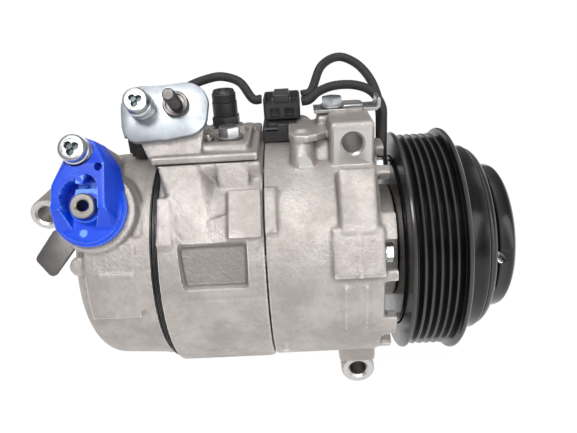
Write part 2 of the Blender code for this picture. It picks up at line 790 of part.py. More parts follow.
def valve_plate():
    """The steel plate that closes the bores, with a suction and a discharge hole over each."""
    obj = sleeve("valve_plate", VALVE_FRONT, VALVE_REAR, REAR_RADIUS, 5.0 * MM, 36)
    for i in range(CYLINDERS):
        suction = (DISCHARGE_CHAMBER + CHAMBER_WALL + SUCTION_CHAMBER) / 2
        discharge = DISCHARGE_CHAMBER - VALVE_HOLE - 1.0 * MM
        for kind, circle in (("suction", suction), ("discharge", discharge)):
            hole = along_shaft(
                f"{kind}_hole_{i + 1}",
                VALVE_FRONT + 5.0 * MM,
                VALVE_REAR - 5.0 * MM,
                VALVE_HOLE,
                ring_angle(i),
                circle,
                8,
            )
            cut(obj, hole)
    bolt_holes(obj, VALVE_FRONT + 5.0 * MM, VALVE_REAR - 5.0 * MM, THROUGH_BOLT_RADIUS + GAP)
    return keep(obj, DARK_STEEL)


def rear_gasket():
    obj = sleeve("rear_gasket", GASKET_FRONT, GASKET_REAR, REAR_RADIUS - 0.4 * MM, SUCTION_CHAMBER, 36)
    bolt_holes(obj, GASKET_FRONT + 5.0 * MM, GASKET_REAR - 5.0 * MM, THROUGH_BOLT_RADIUS + GAP)
    return keep(obj, DARK_STEEL)


def body_seal():
    bpy.ops.mesh.primitive_torus_add(
        major_radius=SEAL_CIRCLE,
        minor_radius=SEAL_RADIUS,
        major_segments=32,
        minor_segments=6,
        location=(BLOCK_FRONT + GAP + SEAL_DEPTH / 2 - 0.1 * MM, 0.0, 0.0),
        rotation=(0.0, math.pi / 2, 0.0),
    )
    obj = bpy.context.active_object
    obj.name = "body_o_ring"
    return keep(obj, RUBBER)


def through_bolts():
    for i in range(CYLINDERS):
        angle = ring_angle(i, 0.5)
        head_rear = HOUSING_FRONT + GAP
        obj = along_shaft(
            f"through_bolt_{i + 1}",
            head_rear + THROUGH_HEAD,
            head_rear,
            THROUGH_HEAD_RADIUS,
            angle,
            BOLT_CIRCLE,
            12,
        )
        shank = along_shaft(
            f"through_bolt_shank_{i + 1}",
            head_rear + THROUGH_HEAD / 2,
            THROUGH_BOLT_END,
            THROUGH_BOLT_RADIUS,
            angle,
            BOLT_CIRCLE,
            10,
        )
        add(obj, shank)
        keep(obj, ZINC)


# ---------------------------------------------------------------- muffler cover and what it carries
def muffler_cover():
    """The casting that closes the muffler, with the discharge port block standing on it."""
    left, right = BLOCK_REAR + 1.0 * MM, BLOCK_FRONT - 0.8 * MM
    top = COVER_SEAM + COVER_HEIGHT
    obj = box(
        "muffler_cover", (left, MUFFLER_FRONT_Y, COVER_SEAM), (right, MUFFLER_BACK_Y, top), 2.0 * MM
    )
    block = box(
        "discharge_block",
        (DISCHARGE_X - 13.0 * MM, -DISCHARGE_FACE, DISCHARGE_FOOT),
        (DISCHARGE_X + 16.0 * MM, -DISCHARGE_FACE + DISCHARGE_DEPTH, DISCHARGE_TOP),
        3.5 * MM,
        DISCHARGE_TILT,
    )
    under = box(
        "under_seam", (left - 9.0 * MM, -70.0 * MM, 0.0), (right, 40.0 * MM, COVER_SEAM + 2.0 * MM)
    )
    cut(block, under)
    add(obj, block)
    column = rod(
        "cover_bolt_column",
        (COVER_BOLT_X, COVER_BOLT_Y, COVER_SEAM),
        (COVER_BOLT_X, COVER_BOLT_Y, top + 1.0 * MM),
        COVER_BOLT_COLUMN,
        bevel=1.0 * MM,
    )
    add(obj, column)
    for name, hole_x, hole_up, radius, depth in discharge_holes():
        hole = rod(
            f"discharge_{name}_hole",
            tilted(hole_x, DISCHARGE_FACE + 5.0 * MM, hole_up, DISCHARGE_TILT),
            tilted(hole_x, DISCHARGE_FACE - depth, hole_up, DISCHARGE_TILT),
            radius + GAP,
            sides=12,
        )
        cut(obj, hole)
    bolt_hole = rod(
        "cover_bolt_hole",
        (COVER_BOLT_X, COVER_BOLT_Y, top + 5.0 * MM),
        (COVER_BOLT_X, COVER_BOLT_Y, COVER_SEAM + 1.0 * MM),
        2.5 * MM + GAP,
        sides=12,
    )
    cut(obj, bolt_hole)
    return keep(obj, CAST)


def discharge_holes():
    """Name, place across, place up, radius and depth of each hole in the discharge block's face."""
    return (
        ("bolt", PLATE_BOLT_X, PLATE_BOLT_UP, 3.0 * MM, 11.5 * MM),
        ("stud", STUD_X, STUD_UP, 3.0 * MM, 11.5 * MM),
    )


def cover_plate():
    """The zinc-plated shipping plate over the discharge port."""
    outline = arc(PLATE_BOLT_X, PLATE_BOLT_UP, 10.0 * MM, 100.0, 200.0, 5)
    outline += arc(DISCHARGE_X - 6.0 * MM, DISCHARGE_FOOT + 8.0 * MM, 7.5 * MM, 200.0, 265.0, 4)
    outline += arc(DISCHARGE_X + 7.0 * MM, DISCHARGE_FOOT + 9.0 * MM, 8.0 * MM, 280.0, 340.0, 4)
    outline += arc(STUD_X + 5.5 * MM, STUD_UP - 1.0 * MM, 9.0 * MM, -10.0, 80.0, 5)
    place = Matrix.Rotation(-DISCHARGE_TILT, 4, "X") @ Matrix.Translation((0, -DISCHARGE_FACE - GAP, 0))
    obj = plate("discharge_cover_plate", outline, PLATE_GAUGE, place, 0.5 * MM)
    for name, hole_x, hole_up, radius, _ in discharge_holes():
        hole = rod(
            f"plate_hole_{name}",
            tilted(hole_x, DISCHARGE_FACE + 15.0 * MM, hole_up, DISCHARGE_TILT),
            tilted(hole_x, DISCHARGE_FACE - 5.0 * MM, hole_up, DISCHARGE_TILT),
            radius + GAP,
            sides=16,
        )
        cut(obj, hole)
    return keep(obj, ZINC)


def plate_fasteners():
    front = DISCHARGE_FACE + GAP + PLATE_GAUGE + GAP
    spacer = rod(
        "plate_bolt_spacer",
        tilted(PLATE_BOLT_X, front, PLATE_BOLT_UP, DISCHARGE_TILT),
        tilted(PLATE_BOLT_X, front + SPACER_LENGTH, PLATE_BOLT_UP, DISCHARGE_TILT),
        6.6 * MM,
        bevel=0.4 * MM,
    )
    hole = rod(
        "plate_spacer_hole",
        tilted(PLATE_BOLT_X, front - 2.0 * MM, PLATE_BOLT_UP, DISCHARGE_TILT),
        tilted(PLATE_BOLT_X, front + SPACER_LENGTH + 2.0 * MM, PLATE_BOLT_UP, DISCHARGE_TILT),
        3.0 * MM + GAP,
        sides=16,
    )
    keep(cut(spacer, hole), ZINC)
    seat = front + SPACER_LENGTH + GAP
    socket_bolt(
        "plate_bolt", PLATE_BOLT_X, PLATE_BOLT_UP, seat, 6.2 * MM, 5.0 * MM, 3.0 * MM,
        seat - DISCHARGE_FACE + 10.0 * MM, DISCHARGE_TILT,
    )
    stud = rod(
        "plate_stud",
        tilted(STUD_X, DISCHARGE_FACE - 10.0 * MM, STUD_UP, DISCHARGE_TILT),
        tilted(STUD_X, DISCHARGE_FACE + STUD_LENGTH, STUD_UP, DISCHARGE_TILT),
        3.0 * MM,
        sides=16,
    )
    nut = rod(
        "stud_collar",
        tilted(STUD_X, front, STUD_UP, DISCHARGE_TILT),
        tilted(STUD_X, front + 2.4 * MM, STUD_UP, DISCHARGE_TILT),
        6.0 * MM,
        bevel=0.3 * MM,
    )
    keep(add(stud, nut), DARK_STEEL)


def socket_bolt(name, x, up, seat, head_radius, head, shank_radius, shank, tilt):
    """A flanged bolt with a six-sided drive recess, its head's underside at seat."""
    obj = rod(
        name, tilted(x, seat, up, tilt), tilted(x, seat + head, up, tilt), head_radius, bevel=0.5 * MM
    )
    body = rod(
        f"{name}_shank",
        tilted(x, seat + head / 2, up, tilt),
        tilted(x, seat - shank, up, tilt),
        shank_radius,
        sides=16,
    )
    recess = rod(
        f"{name}_recess",
        tilted(x, seat + head - 2.5 * MM, up, tilt),
        tilted(x, seat + head + 2.0 * MM, up, tilt),
        head_radius * 0.5,
        sides=6,
    )
    add(obj, body)
    cut(obj, recess)
    return keep(obj, ZINC)


def upright_bolt(name, x, y, seat, foot, head_radius, head, shank_radius):
    """A hex bolt standing on a seat, its shank down to foot."""
    obj = rod(name, (x, y, seat), (x, y, seat + head), head_radius, sides=6)
    shank = rod(f"{name}_shank", (x, y, seat + head / 2), (x, y, foot), shank_radius, sides=12)
    add(obj, shank)
    return keep(obj, ZINC)


def relief_valve():
    """The pressure relief valve screwed into the cover behind its bolt."""
    foot = COVER_SEAM + COVER_HEIGHT + GAP
    obj = rod(
        "relief_valve", (RELIEF_X, RELIEF_Y, foot), (RELIEF_X, RELIEF_Y, foot + 6.0 * MM), 7.5 * MM, sides=6
    )
    body = rod(
        "relief_valve_body",
        (RELIEF_X, RELIEF_Y, foot + 4.0 * MM),
        (RELIEF_X, RELIEF_Y, foot + 18.0 * MM),
        6.0 * MM,
        sides=16,
        bevel=0.8 * MM,
    )
    add(obj, body)
    return keep(obj, BLACK_PLASTIC)


# ---------------------------------------------------------------- suction port cap
def port_cap():
    """The blue plastic transit cap, a body with a recess round a steel bush and a lobe for its bolt."""
    base = PORT_FACE + GAP
    obj = rod(
        "port_cap",
        tilted(PORT_X, base, PORT_UP, PORT_TILT),
        tilted(PORT_X, base + CAP_HEIGHT, PORT_UP, PORT_TILT),
        CAP_RADIUS,
        sides=28,
        bevel=1.0 * MM,
    )
    lobe = rod(
        "cap_lobe",
        tilted(PORT_X - CAP_BOLT_X, base, PORT_UP + CAP_BOLT_UP, PORT_TILT),
        tilted(PORT_X - CAP_BOLT_X, base + CAP_HEIGHT - CAP_STEP, PORT_UP + CAP_BOLT_UP, PORT_TILT),
        8.5 * MM,
        bevel=1.0 * MM,
    )
    bridge = box(
        "cap_bridge",
        (PORT_X - CAP_BOLT_X - 8.0 * MM, -(base + CAP_HEIGHT - CAP_STEP), PORT_UP + 4.0 * MM),
        (PORT_X + 8.0 * MM, -base, PORT_UP + CAP_BOLT_UP - 3.0 * MM),
        0.0,
        PORT_TILT,
    )
    add(obj, lobe)
    add(obj, bridge)
    recess = rod(
        "cap_recess",
        tilted(PORT_X - 1.5 * MM, base + 3.0 * MM, PORT_UP + 2.0 * MM, PORT_TILT),
        tilted(PORT_X - 1.5 * MM, base + CAP_HEIGHT + 5.0 * MM, PORT_UP + 2.0 * MM, PORT_TILT),
        BUSH_RADIUS + GAP,
        sides=24,
    )
    slot = box(
        "cap_slot",
        (PORT_X - 8.0 * MM, -(base + CAP_HEIGHT + 5.0 * MM), PORT_UP),
        (PORT_X + 5.0 * MM, -(base + 6.0 * MM), PORT_UP + 9.5 * MM),
        0.0,
        PORT_TILT,
    )
    bolt_hole = rod(
        "cap_bolt_clearance",
        tilted(PORT_X - CAP_BOLT_X, base - 3.0 * MM, PORT_UP + CAP_BOLT_UP, PORT_TILT),
        tilted(PORT_X - CAP_BOLT_X, base + CAP_HEIGHT + 5.0 * MM, PORT_UP + CAP_BOLT_UP, PORT_TILT),
        CAP_BOLT_RADIUS + GAP,
        sides=16,
    )
    cut(obj, recess)
    cut(obj, slot)
    cut(obj, bolt_hole)
    return keep(obj, BLUE_PLASTIC)


def cap_fittings():
    base = PORT_FACE + GAP
    bush = rod(
        "cap_bush",
        tilted(PORT_X - 1.5 * MM, base + 3.0 * MM + GAP, PORT_UP + 2.0 * MM, PORT_TILT),
        tilted(PORT_X - 1.5 * MM, base + CAP_HEIGHT - 1.0 * MM, PORT_UP + 2.0 * MM, PORT_TILT),
        BUSH_RADIUS,
        bevel=0.4 * MM,
    )
    bore = rod(
        "cap_bush_bore",
        tilted(PORT_X - 1.5 * MM, base, PORT_UP + 2.0 * MM, PORT_TILT),
        tilted(PORT_X - 1.5 * MM, base + CAP_HEIGHT + 5.0 * MM, PORT_UP + 2.0 * MM, PORT_TILT),
        2.4 * MM,
        sides=16,
    )
    keep(cut(bush, bore), STEEL)
    seat = base + CAP_HEIGHT - CAP_STEP + GAP
    spacer = rod(
        "cap_bolt_spacer",
        tilted(PORT_X - CAP_BOLT_X, seat, PORT_UP + CAP_BOLT_UP, PORT_TILT),
        tilted(PORT_X - CAP_BOLT_X, seat + CAP_SPACER, PORT_UP + CAP_BOLT_UP, PORT_TILT),
        6.4 * MM,
        bevel=0.4 * MM,
    )
    clear = rod(
        "cap_spacer_hole",
        tilted(PORT_X - CAP_BOLT_X, seat - 2.0 * MM, PORT_UP + CAP_BOLT_UP, PORT_TILT),
        tilted(PORT_X - CAP_BOLT_X, seat + CAP_SPACER + 2.0 * MM, PORT_UP + CAP_BOLT_UP, PORT_TILT),
        CAP_BOLT_RADIUS + GAP,
        sides=16,
    )
    keep(cut(spacer, clear), ZINC)
    head_seat = seat + CAP_SPACER + GAP
    socket_bolt(
        "cap_bolt", PORT_X - CAP_BOLT_X, PORT_UP + CAP_BOLT_UP, head_seat, 6.6 * MM, 5.0 * MM,
        CAP_BOLT_RADIUS, head_seat - PORT_FACE + 16.0 * MM, PORT_TILT,
    )


def cap_strap():
    """The flat steel tab that holds the cap's foot, its free end past the cap."""
    outline = [
        (-STRAP_LENGTH + 2.0 * MM, -STRAP_WIDTH / 2),
        (0.0, -STRAP_WIDTH / 2),
        (0.0, STRAP_WIDTH / 2),
        (-STRAP_LENGTH + 2.0 * MM, STRAP_WIDTH / 2),
        (-STRAP_LENGTH, STRAP_WIDTH / 2 - 2.0 * MM),
        (-STRAP_LENGTH, -STRAP_WIDTH / 2 + 2.0 * MM),
    ]
    place = (
        Matrix.Rotation(-PORT_TILT, 4, "X")
        @ Matrix.Translation((PORT_X, -STRAP_OUT, PORT_UP))
        @ Matrix.Rotation(STRAP_TURN, 4, "Y")
        @ Matrix.Translation((-PORT_BOSS_RADIUS - 1.3 * MM, 0.0, 0.0))
    )
    return keep(plate("cap_strap", outline, STRAP_GAUGE, place, 0.3 * MM), DARK_STEEL)


# ---------------------------------------------------------------- wiring
def wire_clip():
    obj = box(
        "wire_clip",
        (CLIP_X - 4.0 * MM, CLIP_Y - 4.0 * MM, CLIP_Z - 5.0 * MM),
        (CLIP_X + 4.0 * MM, CLIP_Y + 4.0 * MM, CLIP_Z + 5.0 * MM),
        0.8 * MM,
    )
    return keep(obj, BLACK_PLASTIC)


def connector_holder():
    """The black block on the housings' joint that the plug clips on."""
    half = HOLDER_WIDTH / 2
    obj = box(
        "connector_holder",
        (CONNECTOR_X - half, HOLDER_FRONT_Y, BODY_RADIUS + GAP),
        (CONNECTOR_X + half, CONNECTOR_BACK_Y, HOLDER_TOP),
        1.5 * MM,
    )
    return keep(obj, BLACK_PLASTIC)


def connector():
    half = CONNECTOR_WIDTH / 2
    obj = box(
        "connector",
        (CONNECTOR_X - half, CONNECTOR_FRONT_Y, HOLDER_TOP + GAP),
        (CONNECTOR_X + half, CONNECTOR_BACK_Y, CONNECTOR_TOP),
        1.5 * MM,
    )
    window = box(
        "connector_window",
        (CONNECTOR_X - 5.0 * MM, CONNECTOR_FRONT_Y - 2.0 * MM, HOLDER_TOP + 3.0 * MM),
        (CONNECTOR_X + 5.0 * MM, CONNECTOR_FRONT_Y + 2.0 * MM, HOLDER_TOP + 8.0 * MM),
    )
    cut(obj, window)
    return keep(obj, BLACK_PLASTIC)


def cables():
    for name, points in CABLES.items():
        keep(tube(name, points, CABLE_RADIUS, 6.0 * MM), CABLE_SLEEVE)


def cable_bracket():
    """The pressed steel strap on the upper ear that carries the cable clamp."""
    obj = box(
        "cable_bracket",
        (BRACKET_LEFT, BRACKET_FRONT_Y, BRACKET_Z),
        (BRACKET_RIGHT, BRACKET_FRONT_Y + BRACKET_WIDTH, BRACKET_Z + BRACKET_GAUGE),
        0.4 * MM,
    )
    lip = box(
        "bracket_lip",
        (BRACKET_RIGHT - BRACKET_GAUGE, BRACKET_FRONT_Y, BRACKET_Z),
        (BRACKET_RIGHT, BRACKET_FRONT_Y + BRACKET_WIDTH, BRACKET_Z + 6.0 * MM),
        0.4 * MM,
    )
    add(obj, lip)
    hole = rod(
        "bracket_hole",
        (BRACKET_BOLT_X, BRACKET_BOLT_Y, BRACKET_Z - 5.0 * MM),
        (BRACKET_BOLT_X, BRACKET_BOLT_Y, BRACKET_Z + 5.0 * MM),
        3.0 * MM + GAP,
        sides=12,
    )
    cut(obj, hole)
    return keep(obj, STEEL)


# ---------------------------------------------------------------- clutch
def clutch_coil():
    """The coil's steel shell with the winding potted in it, screwed flat on the front housing."""
    front = COIL_REAR + COIL_PLATE + COIL_LENGTH
    obj = turned(
        "clutch_coil",
        [
            (front, COIL_OUTER),
            (COIL_REAR, COIL_OUTER),
            (COIL_REAR, NOSE_RADIUS + GAP),
            (COIL_REAR + COIL_PLATE, NOSE_RADIUS + GAP),
            (COIL_REAR + COIL_PLATE, COIL_INNER),
            (front, COIL_INNER),
            (front, COIL_INNER + 2.5 * MM),
            (front - 3.0 * MM, COIL_INNER + 2.5 * MM),
            (front - 3.0 * MM, COIL_OUTER - 2.5 * MM),
            (front, COIL_OUTER - 2.5 * MM),
        ],
        36,
    )
    return keep(obj, BLACK_PAINT)


def pulley():
    """The belt pulley and clutch rotor in one piece: ribbed drum, friction disc and bearing hub."""
    rib_zone = RIBS * RIB_PITCH
    rim_front = -PULLEY_BACK + 2.6 * MM + rib_zone + 2.2 * MM
    outline = [
        (-ROTOR_FACE, BEARING_OUTER + 3.0 * MM),
        (-ROTOR_FACE, ROTOR_RADIUS - 0.6 * MM),
        (-ROTOR_FACE - 0.6 * MM, ROTOR_RADIUS),
        (rim_front, ROTOR_RADIUS),
        (rim_front, PULLEY_RIM_RADIUS - 1.0 * MM),
        (rim_front - 1.0 * MM, PULLEY_RIM_RADIUS),
        (rim_front - 2.0 * MM, PULLEY_RIM_RADIUS - 0.4 * MM),
    ]
    start = rim_front - 2.4 * MM
    for i in range(RIBS):
        place = start - RIB_PITCH * i
        outline.append((place, PULLEY_RADIUS))
        outline.append((place - RIB_PITCH * 0.5, PULLEY_RADIUS - GROOVE_DEPTH))
    outline += [
        (start - rib_zone, PULLEY_RADIUS),
        (-PULLEY_BACK + 1.6 * MM, PULLEY_FLANGE_RADIUS),
        (-PULLEY_BACK, PULLEY_FLANGE_RADIUS - 0.6 * MM),
        (-PULLEY_BACK, COIL_OUTER + ROTOR_CLEARANCE),
        (-ROTOR_FACE - ROTOR_DISC, COIL_OUTER + ROTOR_CLEARANCE),
        (-ROTOR_FACE - ROTOR_DISC, COIL_INNER - ROTOR_CLEARANCE),
        (BEARING_REAR - 1.5 * MM, COIL_INNER - ROTOR_CLEARANCE),
        (BEARING_REAR - 1.5 * MM, BEARING_OUTER + GAP),
        (-ROTOR_FACE - 6.0 * MM, BEARING_OUTER + GAP),
    ]
    return keep(turned("pulley", outline, 36), BLACK_PAINT)


def pulley_bearing():
    """The double-sealed ball bearing between the pulley and the housing's nose."""
    front, inner = BEARING_REAR + BEARING_WIDTH, NOSE_RADIUS + GAP
    middle = BEARING_REAR + BEARING_WIDTH / 2
    track = (inner + BEARING_OUTER) / 2
    ball = 2.6 * MM
    keep(sleeve("bearing_outer_ring", front, BEARING_REAR, BEARING_OUTER, track + ball + GAP), STEEL)
    keep(sleeve("bearing_inner_ring", front, BEARING_REAR, track - ball - GAP, inner), STEEL)
    cage = sleeve(
        "bearing_balls", middle + 1.2 * MM, middle - 1.2 * MM, track + 0.9 * MM, track - 0.9 * MM, 27
    )
    for i in range(BALLS):
        angle = 2 * math.pi * i / BALLS

        def build(shape):
            bmesh.ops.create_uvsphere(shape, u_segments=6, v_segments=4, radius=ball)

        sphere = mesh_object(f"ball_{i + 1}", build)
        sphere.location = (middle, track * math.sin(angle), track * math.cos(angle))
        add(cage, sphere)
    keep(cage, STEEL)
    ring_rear = front + 0.4 * MM
    ring = sleeve("bearing_snap_ring", ring_rear + 1.4 * MM, ring_rear, NOSE_RADIUS + 2.2 * MM, inner)
    keep(ring, DARK_STEEL)


def hub():
    """The drive hub: a dished disc on a splined sleeve."""
    back = -HUB_DEPTH
    obj = turned(
        "hub",
        [
            (HUB_FACE, HUB_RADIUS - 3.0 * MM),
            (HUB_FACE - 0.9 * MM, HUB_RADIUS - 0.9 * MM),
            (HUB_FACE - 3.0 * MM, HUB_RADIUS),
            (back, HUB_RADIUS),
            (back, HUB_SLEEVE),
            (-NOSE_FRONT - 6.0 * MM, HUB_SLEEVE),
            (-NOSE_FRONT - 6.0 * MM, SHAFT_NOSE_RADIUS + GAP),
            (HUB_BOLT_SEAT, SHAFT_NOSE_RADIUS + GAP),
            (HUB_BOLT_SEAT, 10.0 * MM),
            (HUB_FACE - 2.5 * MM, 11.5 * MM),
            (HUB_FACE - 2.5 * MM, HUB_RADIUS - 9.0 * MM),
            (HUB_FACE, HUB_RADIUS - 7.5 * MM),
        ],
        36,
    )
    return keep(obj, BLACK_PAINT)


def hub_bolt():
    """The hex bolt that holds the hub on the shaft."""
    seat = HUB_BOLT_SEAT + GAP
    obj = along_shaft("hub_bolt", 0.0, seat, 7.0 * MM, sides=6)
    shank = along_shaft("hub_bolt_shank", seat + 1.0 * MM, HUB_BOLT_SEAT - 14.0 * MM, 3.0 * MM, sides=16)
    add(obj, shank)
    return keep(obj, ZINC)


def hub_damper():
    """The rubber ring between the hub and the armature."""
    obj = sleeve(
        "hub_damper",
        -HUB_DEPTH - GAP,
        ARMATURE_FRONT + GAP + AIR_GAP,
        HUB_RADIUS - 1.5 * MM,
        HUB_RADIUS - 8.0 * MM,
    )
    return keep(obj, RUBBER)


def armature():
    """The steel disc that the coil pulls across the air gap on to the rotor."""
    obj = turned(
        "armature_plate",
        [
            (ARMATURE_FRONT, ARMATURE_RADIUS - 1.8 * MM),
            (ARMATURE_FRONT - 1.8 * MM, ARMATURE_RADIUS),
            (ARMATURE_REAR, ARMATURE_RADIUS),
            (ARMATURE_REAR, HUB_SLEEVE + 10.0 * MM),
            (ARMATURE_FRONT, HUB_SLEEVE + 10.0 * MM),
        ],
        36,
    )
    return keep(obj, BLACK_PAINT)


# ---------------------------------------------------------------- shaft line
def shaft():
    """The drive shaft: threaded and splined nose, seal land, and two bearing lands."""
    nose = HUB_BOLT_SEAT - 1.0 * MM
    obj = turned(
        "drive_shaft",
        [
            (nose, 3.0 * MM + GAP),
            (nose, SHAFT_NOSE_RADIUS - 0.8 * MM),
            (nose - 0.8 * MM, SHAFT_NOSE_RADIUS),
            (-NOSE_FRONT - 8.0 * MM, SHAFT_NOSE_RADIUS),
            (-NOSE_FRONT - 9.5 * MM, SEAL_LAND),
            (WALL_BACK + SHAFT_BEARING_LENGTH + 1.2 * MM, SEAL_LAND),
            (WALL_BACK + SHAFT_BEARING_LENGTH + 0.2 * MM, SHAFT_RADIUS),
            (SHAFT_REAR + 1.0 * MM, SHAFT_RADIUS),
            (SHAFT_REAR, SHAFT_RADIUS - 1.0 * MM),
            (SHAFT_REAR, 0.0),
            (HUB_BOLT_SEAT - 16.0 * MM, 0.0),
            (HUB_BOLT_SEAT - 16.0 * MM, 3.0 * MM + GAP),
        ],
        24,
    )
    return keep(obj, STEEL)


def shaft_parts():
    """Seal, bearings, lug plate and return spring."""
    keep(
        sleeve("shaft_seal", SEAL_FRONT, SEAL_FRONT - 8.0 * MM, NOSE_BORE - GAP, SEAL_LAND + GAP), RUBBER
    )
    keep(
        sleeve(
            "front_shaft_bearing",
            WALL_BACK + SHAFT_BEARING_LENGTH,
            WALL_BACK + 0.2 * MM,
            NOSE_BORE - GAP,
            SHAFT_RADIUS + GAP,
        ),
        STEEL,
    )
    keep(
        sleeve(
            "rear_shaft_bearing",
            SHAFT_REAR + 16.0 * MM,
            SHAFT_REAR + 1.0 * MM,
            SHAFT_BEARING_OUTER - GAP,
            SHAFT_RADIUS + GAP,
        ),
        STEEL,
    )
    keep(
        sleeve(
            "thrust_bearing",
            THRUST_FRONT,
            THRUST_FRONT - THRUST_THICKNESS,
            LUG_RADIUS - 3.0 * MM,
            SHAFT_RADIUS + 2.5 * MM,
        ),
        STEEL,
    )
    lug = sleeve("lug_plate", LUG_FRONT, LUG_REAR, LUG_RADIUS, SHAFT_RADIUS + GAP)
    arm = box(
        "lug_arm",
        (LUG_REAR - 2.0 * MM, -5.0 * MM, LUG_RADIUS - 8.0 * MM),
        (LUG_REAR + 2.0 * MM, 5.0 * MM, LUG_RADIUS - 1.5 * MM),
    )
    keep(add(lug, arm), STEEL)
    coil = []
    spring_rear = LUG_REAR - GAP - SPRING_LENGTH
    for i in range(SPRING_POINTS + 1):
        share = i / SPRING_POINTS
        angle = 2 * math.pi * SPRING_TURNS * share
        radius = SHAFT_RADIUS + 1.6 * MM
        coil.append(
            (
                spring_rear + SPRING_WIRE + (SPRING_LENGTH - 2 * SPRING_WIRE) * share,
                radius * math.sin(angle),
                radius * math.cos(angle),
            )
        )
    keep(tube("return_spring", coil, SPRING_WIRE, 4.5 * MM), STEEL)


# ---------------------------------------------------------------- wobble plate and pistons
def swing_plate():
    """The wobble plate, which never turns, and the drive journal that turns inside it."""
    half = WOBBLE_THICKNESS / 2
    tilt_axis = pivot_empty("wobble_tilt_axis", (PIVOT_X, 0.0, 0.0))
    wobble = turned(
        "wobble_plate",
        [
            (PIVOT_X + half, WOBBLE_RADIUS - 1.0 * MM),
            (PIVOT_X + half - 1.0 * MM, WOBBLE_RADIUS),
            (PIVOT_X - half + 1.0 * MM, WOBBLE_RADIUS),
            (PIVOT_X - half, WOBBLE_RADIUS - 1.0 * MM),
            (PIVOT_X - half, JOURNAL_RADIUS + GAP),
            (PIVOT_X + half, JOURNAL_RADIUS + GAP),
        ],
        36,
    )
    hang(keep(wobble, CAST), tilt_axis)
    reach = JOURNAL_LENGTH / 2
    journal = turned(
        "drive_journal",
        [
            (PIVOT_X + reach, JOURNAL_RADIUS - 1.5 * MM),
            (PIVOT_X + half, JOURNAL_RADIUS),
            (PIVOT_X - half, JOURNAL_RADIUS),
            (PIVOT_X - reach, JOURNAL_RADIUS - 1.5 * MM),
            (PIVOT_X - reach, JOURNAL_BORE),
            (PIVOT_X + reach, JOURNAL_BORE),
        ],
        32,
    )
    hang(keep(journal, STEEL), tilt_axis)


def pistons():
    """Seven pistons, each with its connecting rod and ball, at the middle of the stroke."""
    ball_x = PIVOT_X - WOBBLE_THICKNESS / 2 - BALL_GAP - BALL_RADIUS
    radius = BORE_RADIUS - PISTON_CLEARANCE
    for i in range(CYLINDERS):
        angle = ring_angle(i)
        obj = along_shaft(
            f"piston_{i + 1}", PISTON_FRONT, PISTON_FRONT - PISTON_LENGTH, radius, angle, BORE_CIRCLE, 22
        )
        stem = along_shaft(
            f"piston_rod_{i + 1}", ball_x, PISTON_FRONT - 4.0 * MM, ROD_RADIUS, angle, BORE_CIRCLE, 12
        )

        def build(shape):
            bmesh.ops.create_uvsphere(shape, u_segments=8, v_segments=5, radius=BALL_RADIUS)

        ball = mesh_object(f"rod_ball_{i + 1}", build)
        ball.location = (ball_x, BORE_CIRCLE * math.sin(angle), BORE_CIRCLE * math.cos(angle))
        add(obj, stem)
        add(obj, ball)
        keep(obj, CAST)


def control_valve():
    """The solenoid valve that sets the stroke, in the rear housing's end."""
    inner = REAR_END + VALVE_BODY_LENGTH - 1.0 * MM
    obj = along_shaft("control_valve", inner, REAR_END + 2.0 * MM, VALVE_BODY_RADIUS, sides=24)
    end = VALVE_BODY_RADIUS - 2.0 * MM
    neck = along_shaft("control_valve_end", REAR_END + 4.0 * MM, REAR_END - 2.0 * MM, end, sides=6)
    add(obj, neck)
    return keep(obj, STEEL)


front_housing()
cylinder_block()
rear_housing()
valve_plate()
rear_gasket()
body_seal()
through_bolts()
muffler_cover()
cover_plate()
plate_fasteners()
top_of_column = COVER_SEAM + COVER_HEIGHT + 1.0 * MM + GAP
foot_of_bolt = COVER_SEAM + 2.0 * MM
upright_bolt(
    "cover_bolt", COVER_BOLT_X, COVER_BOLT_Y, top_of_column, foot_of_bolt, 5.6 * MM, 4.6 * MM, 2.5 * MM
)
relief_valve()
port_cap()
cap_fittings()
cap_strap()
wire_clip()
connector_holder()
connector()
cables()
cable_bracket()
bracket_top = BRACKET_Z + BRACKET_GAUGE + GAP
upright_bolt(
    "bracket_bolt", BRACKET_BOLT_X, BRACKET_BOLT_Y, bracket_top, BRACKET_Z, 5.6 * MM, 4.6 * MM, 3.0 * MM
)
clutch_coil()
pulley()
pulley_bearing()
hub()
hub_bolt()
hub_damper()
armature()
shaft()
shaft_parts()
swing_plate()
pistons()
control_valve()
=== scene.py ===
import math

import bmesh
import bpy
import numpy as np
from mathutils import Matrix, Vector


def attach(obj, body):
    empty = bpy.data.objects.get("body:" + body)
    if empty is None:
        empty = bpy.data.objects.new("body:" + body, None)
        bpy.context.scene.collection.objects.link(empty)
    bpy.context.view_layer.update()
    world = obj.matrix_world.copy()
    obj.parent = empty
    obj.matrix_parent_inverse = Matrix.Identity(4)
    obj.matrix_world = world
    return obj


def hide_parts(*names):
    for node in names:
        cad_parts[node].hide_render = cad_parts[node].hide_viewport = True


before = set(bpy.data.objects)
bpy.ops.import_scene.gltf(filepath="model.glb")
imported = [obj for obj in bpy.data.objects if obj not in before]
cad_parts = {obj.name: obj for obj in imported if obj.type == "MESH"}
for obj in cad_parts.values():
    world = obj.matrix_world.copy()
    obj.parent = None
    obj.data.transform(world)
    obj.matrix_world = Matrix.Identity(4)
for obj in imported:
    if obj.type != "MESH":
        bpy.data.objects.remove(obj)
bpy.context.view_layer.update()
MM = 0.001


# Front housing: the crankcase shell, front wall and bearing nose, die-cast in aluminium in one piece.
# Two ears bolt it to the engine, and a rim of short fingers shields the through bolts' heads.
# The casting skin is fused from simple solids so that each corner gets its fillet, then machined.
def place(obj):
    bpy.context.scene.collection.objects.link(obj)
    return obj


